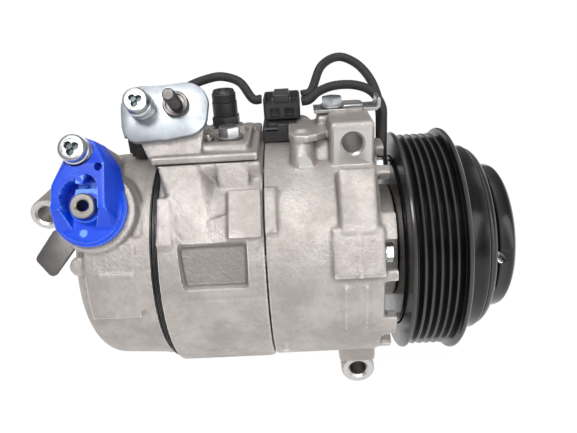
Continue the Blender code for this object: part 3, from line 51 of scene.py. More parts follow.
def from_shape(name, shape, turn=True):
    """Turns a bmesh into an object, with its faces pointing outwards."""
    if turn:
        bmesh.ops.recalc_face_normals(shape, faces=shape.faces)
    data = bpy.data.meshes.new(name)
    shape.to_mesh(data)
    shape.free()
    return place(bpy.data.objects.new(name, data))


def leaned(x, out, up, lean):
    """A place given by its distance out along the leaned -Y and up along the leaned Z, in millimetres."""
    return Matrix.Rotation(-lean, 4, "X") @ Vector((x * MM, -out * MM, up * MM))


def around(x, radius, angle):
    """A place round the shaft, its angle in degrees from the top towards -Y, in millimetres."""
    a = math.radians(angle)
    return Vector((x * MM, -radius * math.sin(a) * MM, radius * math.cos(a) * MM))


def block(name, low, high, lean=0.0, bevel=0.0, segments=3):
    """A rounded block between two corners in millimetres, leaned back about X."""
    low, high = Vector(low) * MM, Vector(high) * MM
    shape = bmesh.new()
    bmesh.ops.create_cube(shape, size=1.0)
    bmesh.ops.scale(shape, vec=high - low, verts=shape.verts)
    bmesh.ops.translate(shape, vec=(low + high) / 2, verts=shape.verts)
    if bevel:
        bmesh.ops.bevel(
            shape, geom=shape.edges[:], offset=bevel * MM, segments=segments, affect="EDGES", profile=0.5
        )
    bmesh.ops.transform(shape, matrix=Matrix.Rotation(-lean, 4, "X"), verts=shape.verts)
    return from_shape(name, shape)


def rounded_rod(name, start, end, radius, top=None, sides=48, bevel=0.0):
    """A round bar or cone from start to end, with its end edges rounded off."""
    start, end = Vector(start), Vector(end)
    way = end - start
    shape = bmesh.new()
    bmesh.ops.create_cone(
        shape, cap_ends=True, segments=sides, radius1=radius * MM,
        radius2=(radius if top is None else top) * MM, depth=way.length,
    )
    if bevel:
        rims = [edge for edge in shape.edges if len(edge.link_faces) == 2
                and sorted(len(f.verts) for f in edge.link_faces)[1] == sides]
        bmesh.ops.bevel(shape, geom=rims, offset=bevel * MM, segments=3, affect="EDGES", profile=0.5)
    turn = way.to_track_quat("Z", "Y").to_matrix().to_4x4()
    bmesh.ops.transform(shape, matrix=Matrix.Translation((start + end) / 2) @ turn, verts=shape.verts)
    return from_shape(name, shape)


def pin(name, start, end, *sizes, **more):
    """A rounded rod between two places in millimetres."""
    return rounded_rod(name, [c * MM for c in start], [c * MM for c in end], *sizes, **more)


def cross_pin(name, x, z, y0, y1, *sizes, **more):
    """A rounded rod across the compressor, along Y."""
    return pin(name, (x, y0, z), (x, y1, z), *sizes, **more)


def shaft_pin(name, x0, x1, y, z, *sizes, **more):
    """A rounded rod along X."""
    return pin(name, (x0, y, z), (x1, y, z), *sizes, **more)


def lathe(name, outline, steps=144):
    """A closed (x, radius) outline in millimetres turned round the shaft."""
    shape = bmesh.new()
    count = len(outline)
    rings = []
    for x, radius in outline:
        if radius <= 0.0:
            rings.append([shape.verts.new((x * MM, 0.0, 0.0))])
            continue
        ring = []
        for i in range(steps):
            a = 2 * math.pi * i / steps
            ring.append(shape.verts.new((x * MM, radius * MM * math.sin(a), radius * MM * math.cos(a))))
        rings.append(ring)
    for k in range(count):
        first, second = rings[k], rings[(k + 1) % count]
        if len(first) == 1 and len(second) == 1:
            continue
        for i in range(steps):
            j = (i + 1) % steps
            loop = [first[i % len(first)], first[j % len(first)], second[j % len(second)], second[i % len(second)]]
            corners = list(dict.fromkeys(loop))
            shape.faces.new(corners)
    return from_shape(name, shape)


def slab(name, outline, low, high, matrix, bevel=0.0):
    """A flat outline in local X and Z, raised along local -Y from low to high, all in millimetres."""
    shape = bmesh.new()
    corners = [shape.verts.new((x * MM, -low * MM, z * MM)) for x, z in outline]
    face = shape.faces.new(corners)
    grown = bmesh.ops.extrude_face_region(shape, geom=[face])
    moved = [item for item in grown["geom"] if isinstance(item, bmesh.types.BMVert)]
    bmesh.ops.translate(shape, vec=(0.0, -(high - low) * MM, 0.0), verts=moved)
    if bevel:
        rims = [e for e in shape.edges if abs(e.verts[0].co.y - e.verts[1].co.y) < 1e-7]
        bmesh.ops.recalc_face_normals(shape, faces=shape.faces)
        bmesh.ops.bevel(shape, geom=rims, offset=bevel * MM, segments=2, affect="EDGES", profile=0.5)
    bmesh.ops.transform(shape, matrix=matrix, verts=shape.verts)
    return from_shape(name, shape)


def arc(cx, cz, radius, start, end, count):
    """Points of a round stretch of an outline, its angles in degrees."""
    turns = [math.radians(start + (end - start) * i / (count - 1)) for i in range(count)]
    return [(cx + radius * math.cos(a), cz + radius * math.sin(a)) for a in turns]


def discard(obj):
    data = obj.data
    bpy.data.objects.remove(obj, do_unlink=True)
    if data.users == 0:
        bpy.data.meshes.remove(data)


def settle(obj):
    """Applies an object's modifiers, so that its mesh holds its final shape."""
    graph = bpy.context.evaluated_depsgraph_get()
    made = bpy.data.meshes.new_from_object(obj.evaluated_get(graph))
    old = obj.data
    obj.modifiers.clear()
    obj.data = made
    made.name = obj.name
    if old.users == 0:
        bpy.data.meshes.remove(old)
    return obj


def gather(name, solids):
    """Puts the meshes of several objects in one, and discards them."""
    shape = bmesh.new()
    for solid in solids:
        shape.from_mesh(solid.data)
    for solid in solids:
        discard(solid)
    return from_shape(name, shape, turn=False)


def fuse(name, solids, voxel=0.8, rounds=6):
    """Melts closed solids into one casting skin, which fills their corners with fillets."""
    obj = gather(name, solids)
    melt = obj.modifiers.new("skin", "REMESH")
    melt.mode = "VOXEL"
    melt.voxel_size = voxel * MM
    ease = obj.modifiers.new("fillets", "SMOOTH")
    ease.factor = 0.5
    ease.iterations = rounds
    return settle(obj)


def machine(obj, tools, operation="DIFFERENCE", bright=True):
    """Cuts an object with tools. The faces that a bright tool leaves take the second material slot."""
    for tool in tools:
        if bright:
            for face in tool.data.polygons:
                face.material_index = 1
        step = obj.modifiers.new("machined", "BOOLEAN")
        step.operation = operation
        step.solver = "MANIFOLD"
        step.object = tool
        settle(obj)
        discard(tool)
    return obj


def weld(obj, tools):
    """Unites other solids with an object."""
    return machine(obj, tools, "UNION", False)


def mark_relief(obj, reach=5):
    """Stores how far each point stands out from its neighbours, for wear on edges and painted shade in corners."""
    data = obj.data
    count = len(data.vertices)
    co = np.empty(count * 3)
    data.vertices.foreach_get("co", co)
    co = co.reshape(-1, 3)
    normal = np.empty(count * 3)
    data.vertices.foreach_get("normal", normal)
    normal = normal.reshape(-1, 3)
    ends = np.empty(len(data.edges) * 2, np.int64)
    data.edges.foreach_get("vertices", ends)
    a, b = ends.reshape(-1, 2).T
    way = co[b] - co[a]
    length = np.maximum(np.linalg.norm(way, axis=1), 1e-9)
    near = length < 2.5 * MM
    a, b, way, length = a[near], b[near], way[near], length[near]
    lean = np.concatenate([-(way * normal[a]).sum(1) / length, (way * normal[b]).sum(1) / length])
    ends = np.concatenate([a, b])
    share = np.maximum(np.bincount(ends, minlength=count), 1)
    relief = np.bincount(ends, weights=lean, minlength=count) / share
    wide = relief.copy()
    other = np.concatenate([b, a])
    for _ in range(reach):
        wide = 0.5 * wide + 0.5 * np.bincount(ends, weights=wide[other], minlength=count) / share
    for name, values in (("relief", relief), ("wide_relief", wide)):
        layer = data.attributes.new(name, "FLOAT", "POINT")
        layer.data.foreach_set("value", values.astype(np.float32))
    return obj


def soften(obj, angle=35.0):
    """Smooth shading, broken at edges sharper than the angle."""
    obj.data.shade_smooth()
    obj.data.set_sharp_from_angle(angle=math.radians(angle))
    return obj


def paint(obj, *materials):
    slots = obj.data.materials
    slots.clear()
    for material in materials:
        slots.append(material)
    return obj


def wire(tree, kind, settings=None, **inputs):
    """Adds a shader node. Each input is a value or another node's output."""
    made = tree.nodes.new(kind)
    for key, value in (settings or {}).items():
        setattr(made, key, value)
    for key, value in inputs.items():
        numbered = key[0] == "_" and key[1:].isdigit()
        socket = made.inputs[int(key[1:]) if numbered else key.replace("_", " ")]
        if isinstance(value, bpy.types.NodeSocket):
            tree.links.new(value, socket)
        elif isinstance(value, tuple) and len(value) == 3 and socket.type == "RGBA":
            socket.default_value = (*value, 1.0)
        else:
            socket.default_value = value
    return made


def group(name, inputs, outputs):
    """A shader node group with its own named sockets, and its input and output nodes."""
    tree = bpy.data.node_groups.new(name, "ShaderNodeTree")
    for label, default in inputs.items():
        kind = "NodeSocketVector" if default is None else "NodeSocketFloat"
        socket = tree.interface.new_socket(label, in_out="INPUT", socket_type=kind)
        if default is not None:
            socket.default_value = default
    for label in outputs:
        tree.interface.new_socket(label, in_out="OUTPUT", socket_type="NodeSocketFloat")
    return tree, tree.nodes.new("NodeGroupInput"), tree.nodes.new("NodeGroupOutput")


def ramp(tree, value, stops):
    """A smooth black-to-white step: stops is (low, high) on the incoming value."""
    return wire(
        tree, "ShaderNodeMapRange", {"interpolation_type": "SMOOTHSTEP"}, Value=value,
        From_Min=stops[0], From_Max=stops[1],
    ).outputs["Result"]


def math_node(tree, operation, *values):
    """The result of a Math node on numbers or other nodes' outputs."""
    return wire(tree, "ShaderNodeMath", {"operation": operation},
                **{f"_{i}": v for i, v in enumerate(values)}).outputs[0]


def noise(tree, spot, scale, detail, roughness=0.5):
    return wire(tree, "ShaderNodeTexNoise", Vector=spot, Scale=scale, Detail=detail, Roughness=roughness).outputs["Fac"]


def effect(tree, effect_group, spot, **values):
    """The outputs of one of the shader node groups."""
    return wire(tree, "ShaderNodeGroup", {"node_tree": effect_group}, Vector=spot, **values).outputs


def grain_group():
    """Two sizes of pebbling and a broad mottle, as on a die-cast or moulded skin."""
    tree, given, taken = group("cast_grain", {"Vector": None, "Scale": 900.0}, ["Height", "Mottle", "Specks"])
    spot, scale = given.outputs["Vector"], given.outputs["Scale"]
    coarse = wire(tree, "ShaderNodeTexVoronoi", Vector=spot, Scale=math_node(tree, "MULTIPLY", scale, 0.34))
    fine = noise(tree, spot, scale, 3.0, 0.6)
    height = math_node(tree, "MULTIPLY_ADD", coarse.outputs["Distance"], 0.5, fine)
    tree.links.new(height, taken.inputs["Height"])
    tree.links.new(ramp(tree, noise(tree, spot, 45.0, 9.0, 0.76), (0.36, 0.66)), taken.inputs["Mottle"])
    tree.links.new(ramp(tree, noise(tree, spot, 420.0, 2.0), (0.66, 0.72)), taken.inputs["Specks"])
    return tree


def relief_group():
    """Reads the stored relief: bright worn edges, and the corners that take painted shade."""
    tree, given, taken = group("edge_and_corner", {"Vector": None, "Break up": 0.5}, ["Edge", "Corner"])
    near = wire(tree, "ShaderNodeAttribute", {"attribute_name": "relief"}).outputs["Fac"]
    wide = wire(tree, "ShaderNodeAttribute", {"attribute_name": "wide_relief"}).outputs["Fac"]
    patchy = noise(tree, given.outputs["Vector"], 260.0, 4.0)
    shift = math_node(tree, "MULTIPLY_ADD", patchy, given.outputs["Break up"], 0.75)
    edge = math_node(tree, "MULTIPLY", ramp(tree, near, (0.05, 0.2)), shift)
    deep = math_node(tree, "MULTIPLY", wide, -1.0)
    corner = math_node(tree, "MULTIPLY", ramp(tree, deep, (0.015, 0.13)), shift)
    tree.links.new(edge, taken.inputs["Edge"])
    tree.links.new(corner, taken.inputs["Corner"])
    return tree


CAST_GRAIN = grain_group()
EDGE_AND_CORNER = relief_group()


def blank_material(name, **sockets):
    """A Principled material, its fixed values set on the shader itself."""
    made = bpy.data.materials.new(name)
    made.use_nodes = True
    shader = made.node_tree.nodes["Principled BSDF"]
    for key, value in sockets.items():
        socket = shader.inputs[key.replace("_", " ")]
        socket.default_value = (*value, 1.0) if socket.type == "RGBA" else value
    spot = made.node_tree.nodes.new("ShaderNodeTexCoord").outputs["Object"]
    return made, made.node_tree, shader, spot


def tone(tree, mask, first, second):
    """A colour that goes from first to second by a mask. Either can be a colour or an output."""
    mixed = wire(tree, "ShaderNodeMix", {"data_type": "RGBA"}, Factor=mask)
    for socket, colour in ((mixed.inputs[6], first), (mixed.inputs[7], second)):
        if isinstance(colour, bpy.types.NodeSocket):
            tree.links.new(colour, socket)
        else:
            socket.default_value = (*colour, 1.0)
    return mixed.outputs[2]


def between(tree, mask, low, high):
    """A number that goes from low to high by a mask."""
    return wire(tree, "ShaderNodeMapRange", Value=mask, To_Min=low, To_Max=high).outputs["Result"]


def dress(tree, shader, base, height, distance, strength=1.0, rough=None):
    """Joins a colour and a relief to the shader, and a roughness that goes by (mask, low, high)."""
    tree.links.new(base, shader.inputs["Base Color"])
    bump = wire(tree, "ShaderNodeBump", Height=height, Distance=distance, Strength=strength)
    tree.links.new(bump.outputs["Normal"], shader.inputs["Normal"])
    if rough:
        tree.links.new(between(tree, *rough), shader.inputs["Roughness"])


def scaled(colour, share):
    return tuple(c * share for c in colour)


def cast_metal(name, light, dark, edge_light, roughness):
    """Sand-grained die-cast aluminium: mottled, with painted shade in its corners, rubbed bright on edges."""
    made, tree, shader, spot = blank_material(name, Metallic=0.62, Roughness=roughness, IOR=1.6)
    skin = effect(tree, CAST_GRAIN, spot, Scale=1500.0)
    edges_and_shade = effect(tree, EDGE_AND_CORNER, spot)
    base = tone(tree, skin["Mottle"], dark, light)
    # Painted shade: the corners are darkened towards a deeper tone of the dark colour.
    base = tone(tree, edges_and_shade["Corner"], base, scaled(dark, 0.62))
    base = tone(tree, edges_and_shade["Edge"], base, edge_light)
    base = tone(tree, math_node(tree, "MULTIPLY", skin["Specks"], 0.3), base, scaled(dark, 0.6))
    dress(tree, shader, base, skin["Height"], 0.00026, rough=(skin["Mottle"], roughness + 0.07, roughness - 0.05))
    return made


def milled_metal(name, colour, roughness, pitch=2600.0):
    """A machined aluminium face, bright with fine cutter marks."""
    made, tree, shader, spot = blank_material(name, Metallic=1.0, Base_Color=colour, Roughness=roughness)
    marks = wire(tree, "ShaderNodeTexWave", {"wave_type": "RINGS", "rings_direction": "SPHERICAL"},
                 Vector=spot, Scale=pitch / 6.0, Distortion=1.5, Detail=2.0)
    smear = noise(tree, spot, 110.0, 4.0)
    base = tone(tree, smear, scaled(colour, 0.82), colour)
    dress(tree, shader, base, marks.outputs["Fac"], 0.00003, 0.5, (smear, roughness - 0.06, roughness + 0.12))
    return made


CASTING = cast_metal("cast_aluminium_skin", (0.51, 0.47, 0.445), (0.38, 0.345, 0.323), (0.74, 0.71, 0.69), 0.46)
MILLED = milled_metal("machined_aluminium", (0.68, 0.665, 0.65), 0.34)

EAR_X = -75.4  # middle of the upper ear
EAR_FACE = -24.0
EAR_BACK = 22.0
EAR_Z = 61.4
LOWER_EAR_X = -73.0
LOWER_EAR_Z = -67.6
HOUSING_FRONT = -64.8
FINGER_TIP = -59.2
BODY = 56.6
CAVITY = 45.3
LEAN = math.radians(28.0)
BOLTS = 7
BOLT_CIRCLE = 49.0
FIRST_BOLT = 17.6  # degrees from the top towards -Y
HOLE = 3.3  # radius of a clearance hole for a 6 mm screw


def ringwise(*places):
    """Places round the shaft, each an x, a radius and an angle, as points in millimetres."""
    return [tuple(around(*place_at) / MM) for place_at in places]


def sector(name, x0, x1, r0, r1, a0, a1, steps=16, taper=0.0):
    """A piece of a ring between two stations, radii and angles. Taper narrows its outer side."""
    shape = bmesh.new()
    rows = []
    for i in range(steps + 1):
        share = i / steps
        inner = a0 + (a1 - a0) * share
        outer = a0 + taper + (a1 - a0 - 2 * taper) * share
        rows.append([
            shape.verts.new(around(x0, r0, inner)), shape.verts.new(around(x1, r0, inner)),
            shape.verts.new(around(x1, r1, outer)), shape.verts.new(around(x0, r1, outer)),
        ])
    for first, second in zip(rows, rows[1:]):
        for k in range(4):
            m = (k + 1) % 4
            shape.faces.new((first[k], first[m], second[m], second[k]))
    shape.faces.new(rows[0])
    shape.faces.new(rows[-1])
    return from_shape(name, shape)


def hull(name, points):
    """The smallest convex solid round some points in millimetres."""
    shape = bmesh.new()
    for point in points:
        shape.verts.new(Vector(point) * MM)
    bmesh.ops.convex_hull(shape, input=shape.verts)
    loose = [v for v in shape.verts if not v.link_faces]
    bmesh.ops.delete(shape, geom=loose, context="VERTS")
    return from_shape(name, shape)


def ring_tree():
    """Repeats a piece at even steps round the shaft, and makes the copies real."""
    tree = bpy.data.node_groups.new("repeat_round_shaft", "GeometryNodeTree")
    for label, kind in (("Piece", "NodeSocketObject"), ("Count", "NodeSocketInt"), ("Start", "NodeSocketFloat"),
                        ("Finish", "NodeSocketMaterial")):
        tree.interface.new_socket(label, in_out="INPUT", socket_type=kind)
    tree.interface.new_socket("Geometry", in_out="OUTPUT", socket_type="NodeSocketGeometry")
    given, taken = tree.nodes.new("NodeGroupInput"), tree.nodes.new("NodeGroupOutput")
    source = wire(tree, "GeometryNodeObjectInfo", Object=given.outputs["Piece"])
    spots = wire(tree, "GeometryNodePoints", Count=given.outputs["Count"])
    index = tree.nodes.new("GeometryNodeInputIndex")
    full = math_node(tree, "DIVIDE", 2 * math.pi, given.outputs["Count"])
    turn = math_node(tree, "MULTIPLY_ADD", index.outputs[0], full, given.outputs["Start"])
    spin = wire(tree, "ShaderNodeCombineXYZ", X=turn)
    copies = wire(tree, "GeometryNodeInstanceOnPoints", Points=spots.outputs[0], Instance=source.outputs["Geometry"],
                  Rotation=spin.outputs[0])
    real = wire(tree, "GeometryNodeRealizeInstances", Geometry=copies.outputs[0])
    coated = wire(tree, "GeometryNodeSetMaterial", Geometry=real.outputs[0], Material=given.outputs["Finish"])
    tree.links.new(coated.outputs[0], taken.inputs[0])
    return tree


REPEAT_ROUND_SHAFT = ring_tree()


def grown(name, tree, **inputs):
    """Runs a Geometry Nodes tree on an empty mesh and keeps the result as a plain mesh."""
    obj = place(bpy.data.objects.new(name, bpy.data.meshes.new(name)))
    step = obj.modifiers.new("made", "NODES")
    step.node_group = tree
    sockets = {item.name: item.identifier for item in tree.interface.items_tree if item.in_out == "INPUT"}
    for key, value in inputs.items():
        step[sockets[key.replace("_", " ")]] = value
    return settle(obj)


def ringed(name, piece, count, start=0.0, finish=None):
    """Copies of a piece round the shaft, the first turned by start degrees towards +Y."""
    finish = finish or CASTING
    made = grown(name, REPEAT_ROUND_SHAFT, Piece=piece, Count=count, Start=-math.radians(start), Finish=finish)
    discard(piece)
    return made


def ring_tool(name, x0, x1, circle, radius, count, start, sides):
    """Equal holes round the shaft, as one tool."""
    rod = pin(name + "_one", (x0, 0, circle), (x1, 0, circle), radius, sides=sides)
    return ringed(name, rod, count, start, MILLED)


def bolt_holes(name, x0, x1):
    """The holes that the seven through bolts pass, as one tool."""
    return ring_tool(name, x0, x1, BOLT_CIRCLE, HOLE, BOLTS, -FIRST_BOLT, 24)


def finished(obj, body, node, angle=32.0):
    """Smooths a piece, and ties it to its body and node."""
    soften(obj, angle)
    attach(obj, body)
    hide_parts(node)
    return obj


housing_body = lathe(
    "housing_body",
    [(-24.5, 17.5), (-54.3, 17.5), (-54.3, 29.6), (HOUSING_FRONT, 29.6), (HOUSING_FRONT, BODY - 1.2),
     (HOUSING_FRONT - 1.2, BODY), (-116.1, BODY), (-116.1, 0.0), (-24.5, 0.0)],
)
wide_finger = sector("wide_finger", HOUSING_FRONT - 3, FINGER_TIP, 51.0, BODY - 0.4, FIRST_BOLT - 19.0,
                     FIRST_BOLT - 6.5, 6)
narrow_finger = sector("narrow_finger", HOUSING_FRONT - 3, FINGER_TIP, 51.0, BODY - 0.4, FIRST_BOLT + 7.2,
                       FIRST_BOLT + 12.5, 6)
housing_parts = [
    housing_body,
    ringed("wide_fingers", wide_finger, BOLTS),
    ringed("narrow_fingers", narrow_finger, BOLTS),
    block("upper_ear", (EAR_X - 10, EAR_FACE, 30), (EAR_X + 10, EAR_BACK, 71.2), 0, 2.2),
    block("ear_step", (EAR_X - 10, -20, 44), (HOUSING_FRONT + 0.5, 19, 58), 0, 1.5),
    block("ear_shoulder", (-102, -13, 50), (EAR_X, 20, 60.5), 0, 2.0),
    hull("flange_plate", [(x, y, z) for z in (62.2, 65.4) for x, y in
                          ((-104.0, -15.5), (-101.5, -20.0), (-96.0, -21.5), (-91.5, -19.5), (-84, -13), (-84, 8),
                           (-104, 8))]),
    rounded_rod("bolt_column", leaned(-98.0, 43.2, 33.5, LEAN), leaned(-98.0, 40.0, 52, LEAN), 5.4, sides=32,
                bevel=2.0),
    hull("column_web", [(-98, -10, 64), (-84, -10, 64), (-98, -24, 48), (-86, -24, 48), (-98, 0, 50), (-84, 0, 50)]),
    block("bracket_boss_base", (-90, -5, 60), (-77, 10, 69.8), 0, 1.5),
    block("ear_pedestal", (-83.6, -58.6, 2.0), (-67.0, -30, 31), LEAN, 1.6),
    block("pedestal_rib", (-76.4, -58.4, -16.5), (-75.0, -50, 29.5), LEAN, 0.4),
    block("pedestal_rib_two", (-73.6, -58.6, 4), (-72.8, -50, 29.5), LEAN, 0.3),
    block("side_pad", (-87.4, -57.9, -16.5), (HOUSING_FRONT, -40, 5.6), LEAN, 1.0),
    sector("rib_band", -82.4, -72.6, 50, BODY + 0.55, 82, 108, 10, 1.0),
    sector("rib_left", -82.8, -81.6, 50, BODY + 1.1, 82, 107, 10, 0.6),
    sector("rib_right", -73.6, -72.4, 50, BODY + 1.1, 82, 107, 10, 0.6),
    sector("seam_pad", -116.1, -110.8, 50, BODY + 1.6, 35, 60, 10, 3.0),
    hull("seam_pad_slope", ringwise(
        (-116.1, BODY + 1.6, 36), (-111.5, BODY + 1.6, 36), (-107.5, BODY - 0.5, 41), (-111.5, BODY + 1.2, 52),
        (-116.1, 50, 36), (-108, 50, 41), (-116.1, 50, 52))),
    cross_pin("lower_ear", LOWER_EAR_X, LOWER_EAR_Z, EAR_FACE, EAR_BACK, 9.0, sides=64, bevel=0.9),
    hull("lower_ear_pillar", [(LOWER_EAR_X + dx, y, z) for dx, z in ((-8.6, -66), (8.6, -66), (-9.6, -50), (9.2, -50))
                              for y in (EAR_FACE + 4, EAR_BACK - 4)]),
    block("lower_pad", (-83.5, -30, -57.2), (HOUSING_FRONT, 30, -40), 0, 1.5),
    rounded_rod("drain_nub", around(-110.5, 50, 112), around(-110.5, 59.4, 121), 1.9, sides=20, bevel=0.8),
    rounded_rod("far_boss", leaned(-98.0, -41, 33, -LEAN), leaned(-98.0, -38, 52, -LEAN), 6.0, sides=32, bevel=2.0),
    sector("far_pad", -88, HOUSING_FRONT, 50, BODY + 0.5, -100, -70, 12, 2.0),
    sector("far_rib", -81, -79.6, 50, BODY + 0.7, -130, -40, 24, 0.5),
]
front_housing = fuse("front_housing_casting", housing_parts, voxel=0.75, rounds=5)
mark_relief(front_housing)
paint(front_housing, CASTING, MILLED)
hollow = lathe("crankcase_hollow", [
    (-20, 13.3), (-70.4, 13.3), (-70.4, CAVITY), (-125, CAVITY), (-125, 0.0), (-20, 0.0)], 96)
seam_face = block("seam_face_tool", (-125, -70, -90), (-116.0, 70, 90))
ear_tools = [
    block("ear_face_tool", (-100, EAR_FACE - 6, 51.5), (-60, EAR_FACE + 0.25, 80)),
    cross_pin("ear_bore", EAR_X, EAR_Z, -40, 40, 4.6),
    cross_pin("ear_mouth", EAR_X, EAR_Z, EAR_FACE - 1, EAR_FACE + 1.4, 6.9, 4.5),
    cross_pin("lower_bore", LOWER_EAR_X, LOWER_EAR_Z, -40, 40, 4.6),
    cross_pin("lower_mouth", LOWER_EAR_X, LOWER_EAR_Z, EAR_FACE - 1, EAR_FACE + 1.4, 6.9, 4.5),
    block("lower_face_tool", (-100, EAR_FACE - 6, -90), (-50, EAR_FACE + 0.2, -56.9)),
]
machine(front_housing, [hollow, seam_face] + ear_tools)
seats = ringed("bolt_seats", rounded_rod("bolt_seat", around(HOUSING_FRONT, BOLT_CIRCLE, FIRST_BOLT),
                                         around(-50, BOLT_CIRCLE, FIRST_BOLT), 5.6, sides=32), BOLTS, finish=MILLED)
machine(front_housing, [seats, bolt_holes("housing_bolt_holes", -50, -130)])
finished(front_housing, "case", "front_housing")


# Cylinder block: the middle casting with its seven bores, and the muffler chamber's walls on top.
# It is die-cast in aluminium, clamped between the two housings, with a flat pad and a shallow pocket on its side.
BLOCK_FRONT = -116.4
BLOCK_REAR = -163.3
CYLINDERS = 7
CYLINDER_CIRCLE = 38.0
BORE = 15.3
BORE_TURN = 8.1  # degrees from the top towards +Y
MUFFLER_TOP = 57.2
PAD_ANGLE = 48.0  # from the top towards -Y, to the middle of the flat pad
block_parts = [
    lathe("block_body", [(BLOCK_FRONT, BODY), (BLOCK_REAR + 0.8, BODY), (BLOCK_REAR, BODY - 0.8), (BLOCK_REAR, 0),
                         (BLOCK_FRONT, 0)]),
    hull("muffler_walls", [
        (-162.9, -17.5, 52.4), (-158.5, -34.6, 41.5), (-151.6, -48.6, 28.0), (-163.0, -28.5, MUFFLER_TOP),
        (-145.5, -28.5, MUFFLER_TOP), (-144.2, -24.1, 49.7), (-136.1, -33.0, 43.0), (-136.6, -39.5, 38.3),
        (-139.9, -45.6, 33.9), (-143, -48.8, 29.5), (-162.0, 10, 40), (-136, 10, 40), (-162.5, 24, MUFFLER_TOP),
        (-130, 24, MUFFLER_TOP)]),
    block("muffler_box", (-163.0, -28.5, 38), (-117.0, 24.0, MUFFLER_TOP), 0, 2.0),
    hull("cover_bolt_column", [(x, y, z) for x, y, z in (
        (-138.0, -20, MUFFLER_TOP), (-120.5, -20, MUFFLER_TOP), (-136.5, -28.3, MUFFLER_TOP),
        (-123, -28.3, MUFFLER_TOP), (-136.5, -31, 50), (-122.5, -31, 50), (-134.0, -34.2, 43), (-124, -34.2, 43),
        (-129, -36.0, 39), (-136, -15, 40), (-121, -15, 40))]),
    hull("muffler_gusset", [(-160.6, -35.0, 44.0), (-158.6, -36.6, 42.8), (-152.4, -49.6, 30.0), (-151.0, -50.4, 28.4),
                            (-158, -30, 38), (-148, -42, 25), (-153.6, -49.6, 31.0)]),
    hull("left_pad", ringwise(
        (-163.2, 58.9, 39), (-157.6, 58.9, 39), (-163.2, 58.9, 60), (-156.4, 58.9, 60), (-163.2, 50, 37),
        (-156, 50, 37), (-163.2, 50, 62), (-154.8, 50, 62), (-163.2, 57.4, 62.5), (-155.4, 57.4, 62.5))),
    sector("left_ring", -163.2, -155.0, 50, BODY + 0.9, 38, 170, 40, 1.0),
    sector("right_ring", BLOCK_FRONT - 4.5, BLOCK_FRONT, 50, BODY + 0.9, 36, 62, 10, 2.0),
    sector("lower_band", -154.5, BLOCK_FRONT, 50, BODY + 0.55, 86, 150, 30, 0.6),
    sector("flash_line", -160, BLOCK_FRONT - 1, 50, BODY + 0.95, 99.4, 100.2, 3),
    hull("milled_pad", ringwise(
        (-131.6, 60.4, 38.2), (-117.6, 60.4, 38.2), (-131.6, 60.4, 58.6), (-117.6, 60.4, 58.6),
        (-133.0, 54, 36), (-116.6, 54, 36), (-133.0, 54, 60.4), (-116.6, 54, 60.4))),
    hull("pad_step", ringwise(
        (-140.5, 57.4, 50), (-117.6, 58.2, 58), (-138.5, 57.5, 63), (-120, 57.6, 64), (-131, 58.5, 48),
        (-141, 54, 49), (-117, 54, 49), (-139, 54, 64.5), (-118, 54, 65.5))),
    sector("pocket_rim", -157.6, -120.6, 50, BODY + 0.75, 56.6, 84.4, 16, 1.0),
    sector("back_rib_left", -162, -159.5, 50, BODY + 0.7, -150, -40, 30, 0.5),
    sector("back_rib_right", -121, -118.5, 50, BODY + 0.7, -150, -40, 30, 0.5),
]
for turn in (-64, -116, 138, -167):
    block_parts.append(sector(f"case_land_{turn}", -160, BLOCK_FRONT - 2, 50, BODY + 0.9, turn - 4, turn + 4, 6, 0.8))
cylinder_block = fuse("cylinder_block_casting", block_parts, voxel=0.75, rounds=5)
pocket = hull("side_pocket", ringwise(
        (-155.0, 60, 58.6), (-123.4, 60, 58.6), (-153.4, 60, 81.6), (-123.6, 60, 81.6),
        (-153.4, 53.6, 62), (-125.2, 53.6, 62), (-151.8, 53.6, 79.2), (-125.4, 53.6, 79.2)))
ease = pocket.modifiers.new("round", "BEVEL")
ease.width, ease.segments = 1.2 * MM, 3
settle(pocket)
machine(cylinder_block, [pocket], bright=False)
mark_relief(cylinder_block)
paint(cylinder_block, CASTING, MILLED)
pad_frame = Matrix.Rotation(-math.radians(90 - PAD_ANGLE), 4, "X")
pad_cut = block("pad_cut", (-131.2, -70, -11.0), (-117.4, -58.9, 11.0))
pad_cut.data.transform(pad_frame)
machine(cylinder_block, [pad_cut], bright=False)
trims = [
    block("seam_cut", (BLOCK_FRONT - 0.15, -80, -80), (BLOCK_FRONT + 10, 80, 80)),
    block("cover_cut", (-175, -60, MUFFLER_TOP - 0.15), (-100, 60, 90)),
    block("chamber", (-158.5, -24.3, 50.6), (-121.5, -14.6, 70), 0, 1.5),
    ring_tool("cylinder_bores", BLOCK_FRONT + 6, BLOCK_REAR - 8, CYLINDER_CIRCLE, BORE, CYLINDERS, BORE_TURN, 64),
    shaft_pin("shaft_bore", BLOCK_FRONT + 6, BLOCK_REAR - 8, 0, 0, 13.3, sides=64),
    block("rear_cut", (BLOCK_REAR - 20, -80, -80), (BLOCK_REAR + 0.1, 80, 80)),
]
machine(cylinder_block, trims)
machine(cylinder_block, [bolt_holes("through_holes", BLOCK_FRONT + 6, BLOCK_REAR - 8)])
finished(cylinder_block, "case", "cylinder_block")


# Rear housing: the cover over the valve plate, with the suction port, its bolt boss and the rear ear.
# It is die-cast like the others, with a rounded end, seven bolt bosses round it and a raised panel on its side.
REAR_BODY = 53.6
REAR_FRONT = -167.2
REAR_END = -204.5
REAR_EAR_X, REAR_EAR_Z = -220.3, 35
CAP_SCREW_X, CAP_SCREW_UP = -2.5, 24.5  # in the suction port's frame
PORT = Matrix.Rotation(-math.radians(31.0), 4, "X") @ Matrix.Translation(Vector((-190.5, 0, 15.5)) * MM)


def port_place(x, out, up):
    """A place in the suction port's frame: along X, out from the shaft and up, in millimetres."""
    return PORT @ Vector((x * MM, -out * MM, up * MM))


def port_points(*points):
    return [tuple(port_place(*p) / MM) for p in points]


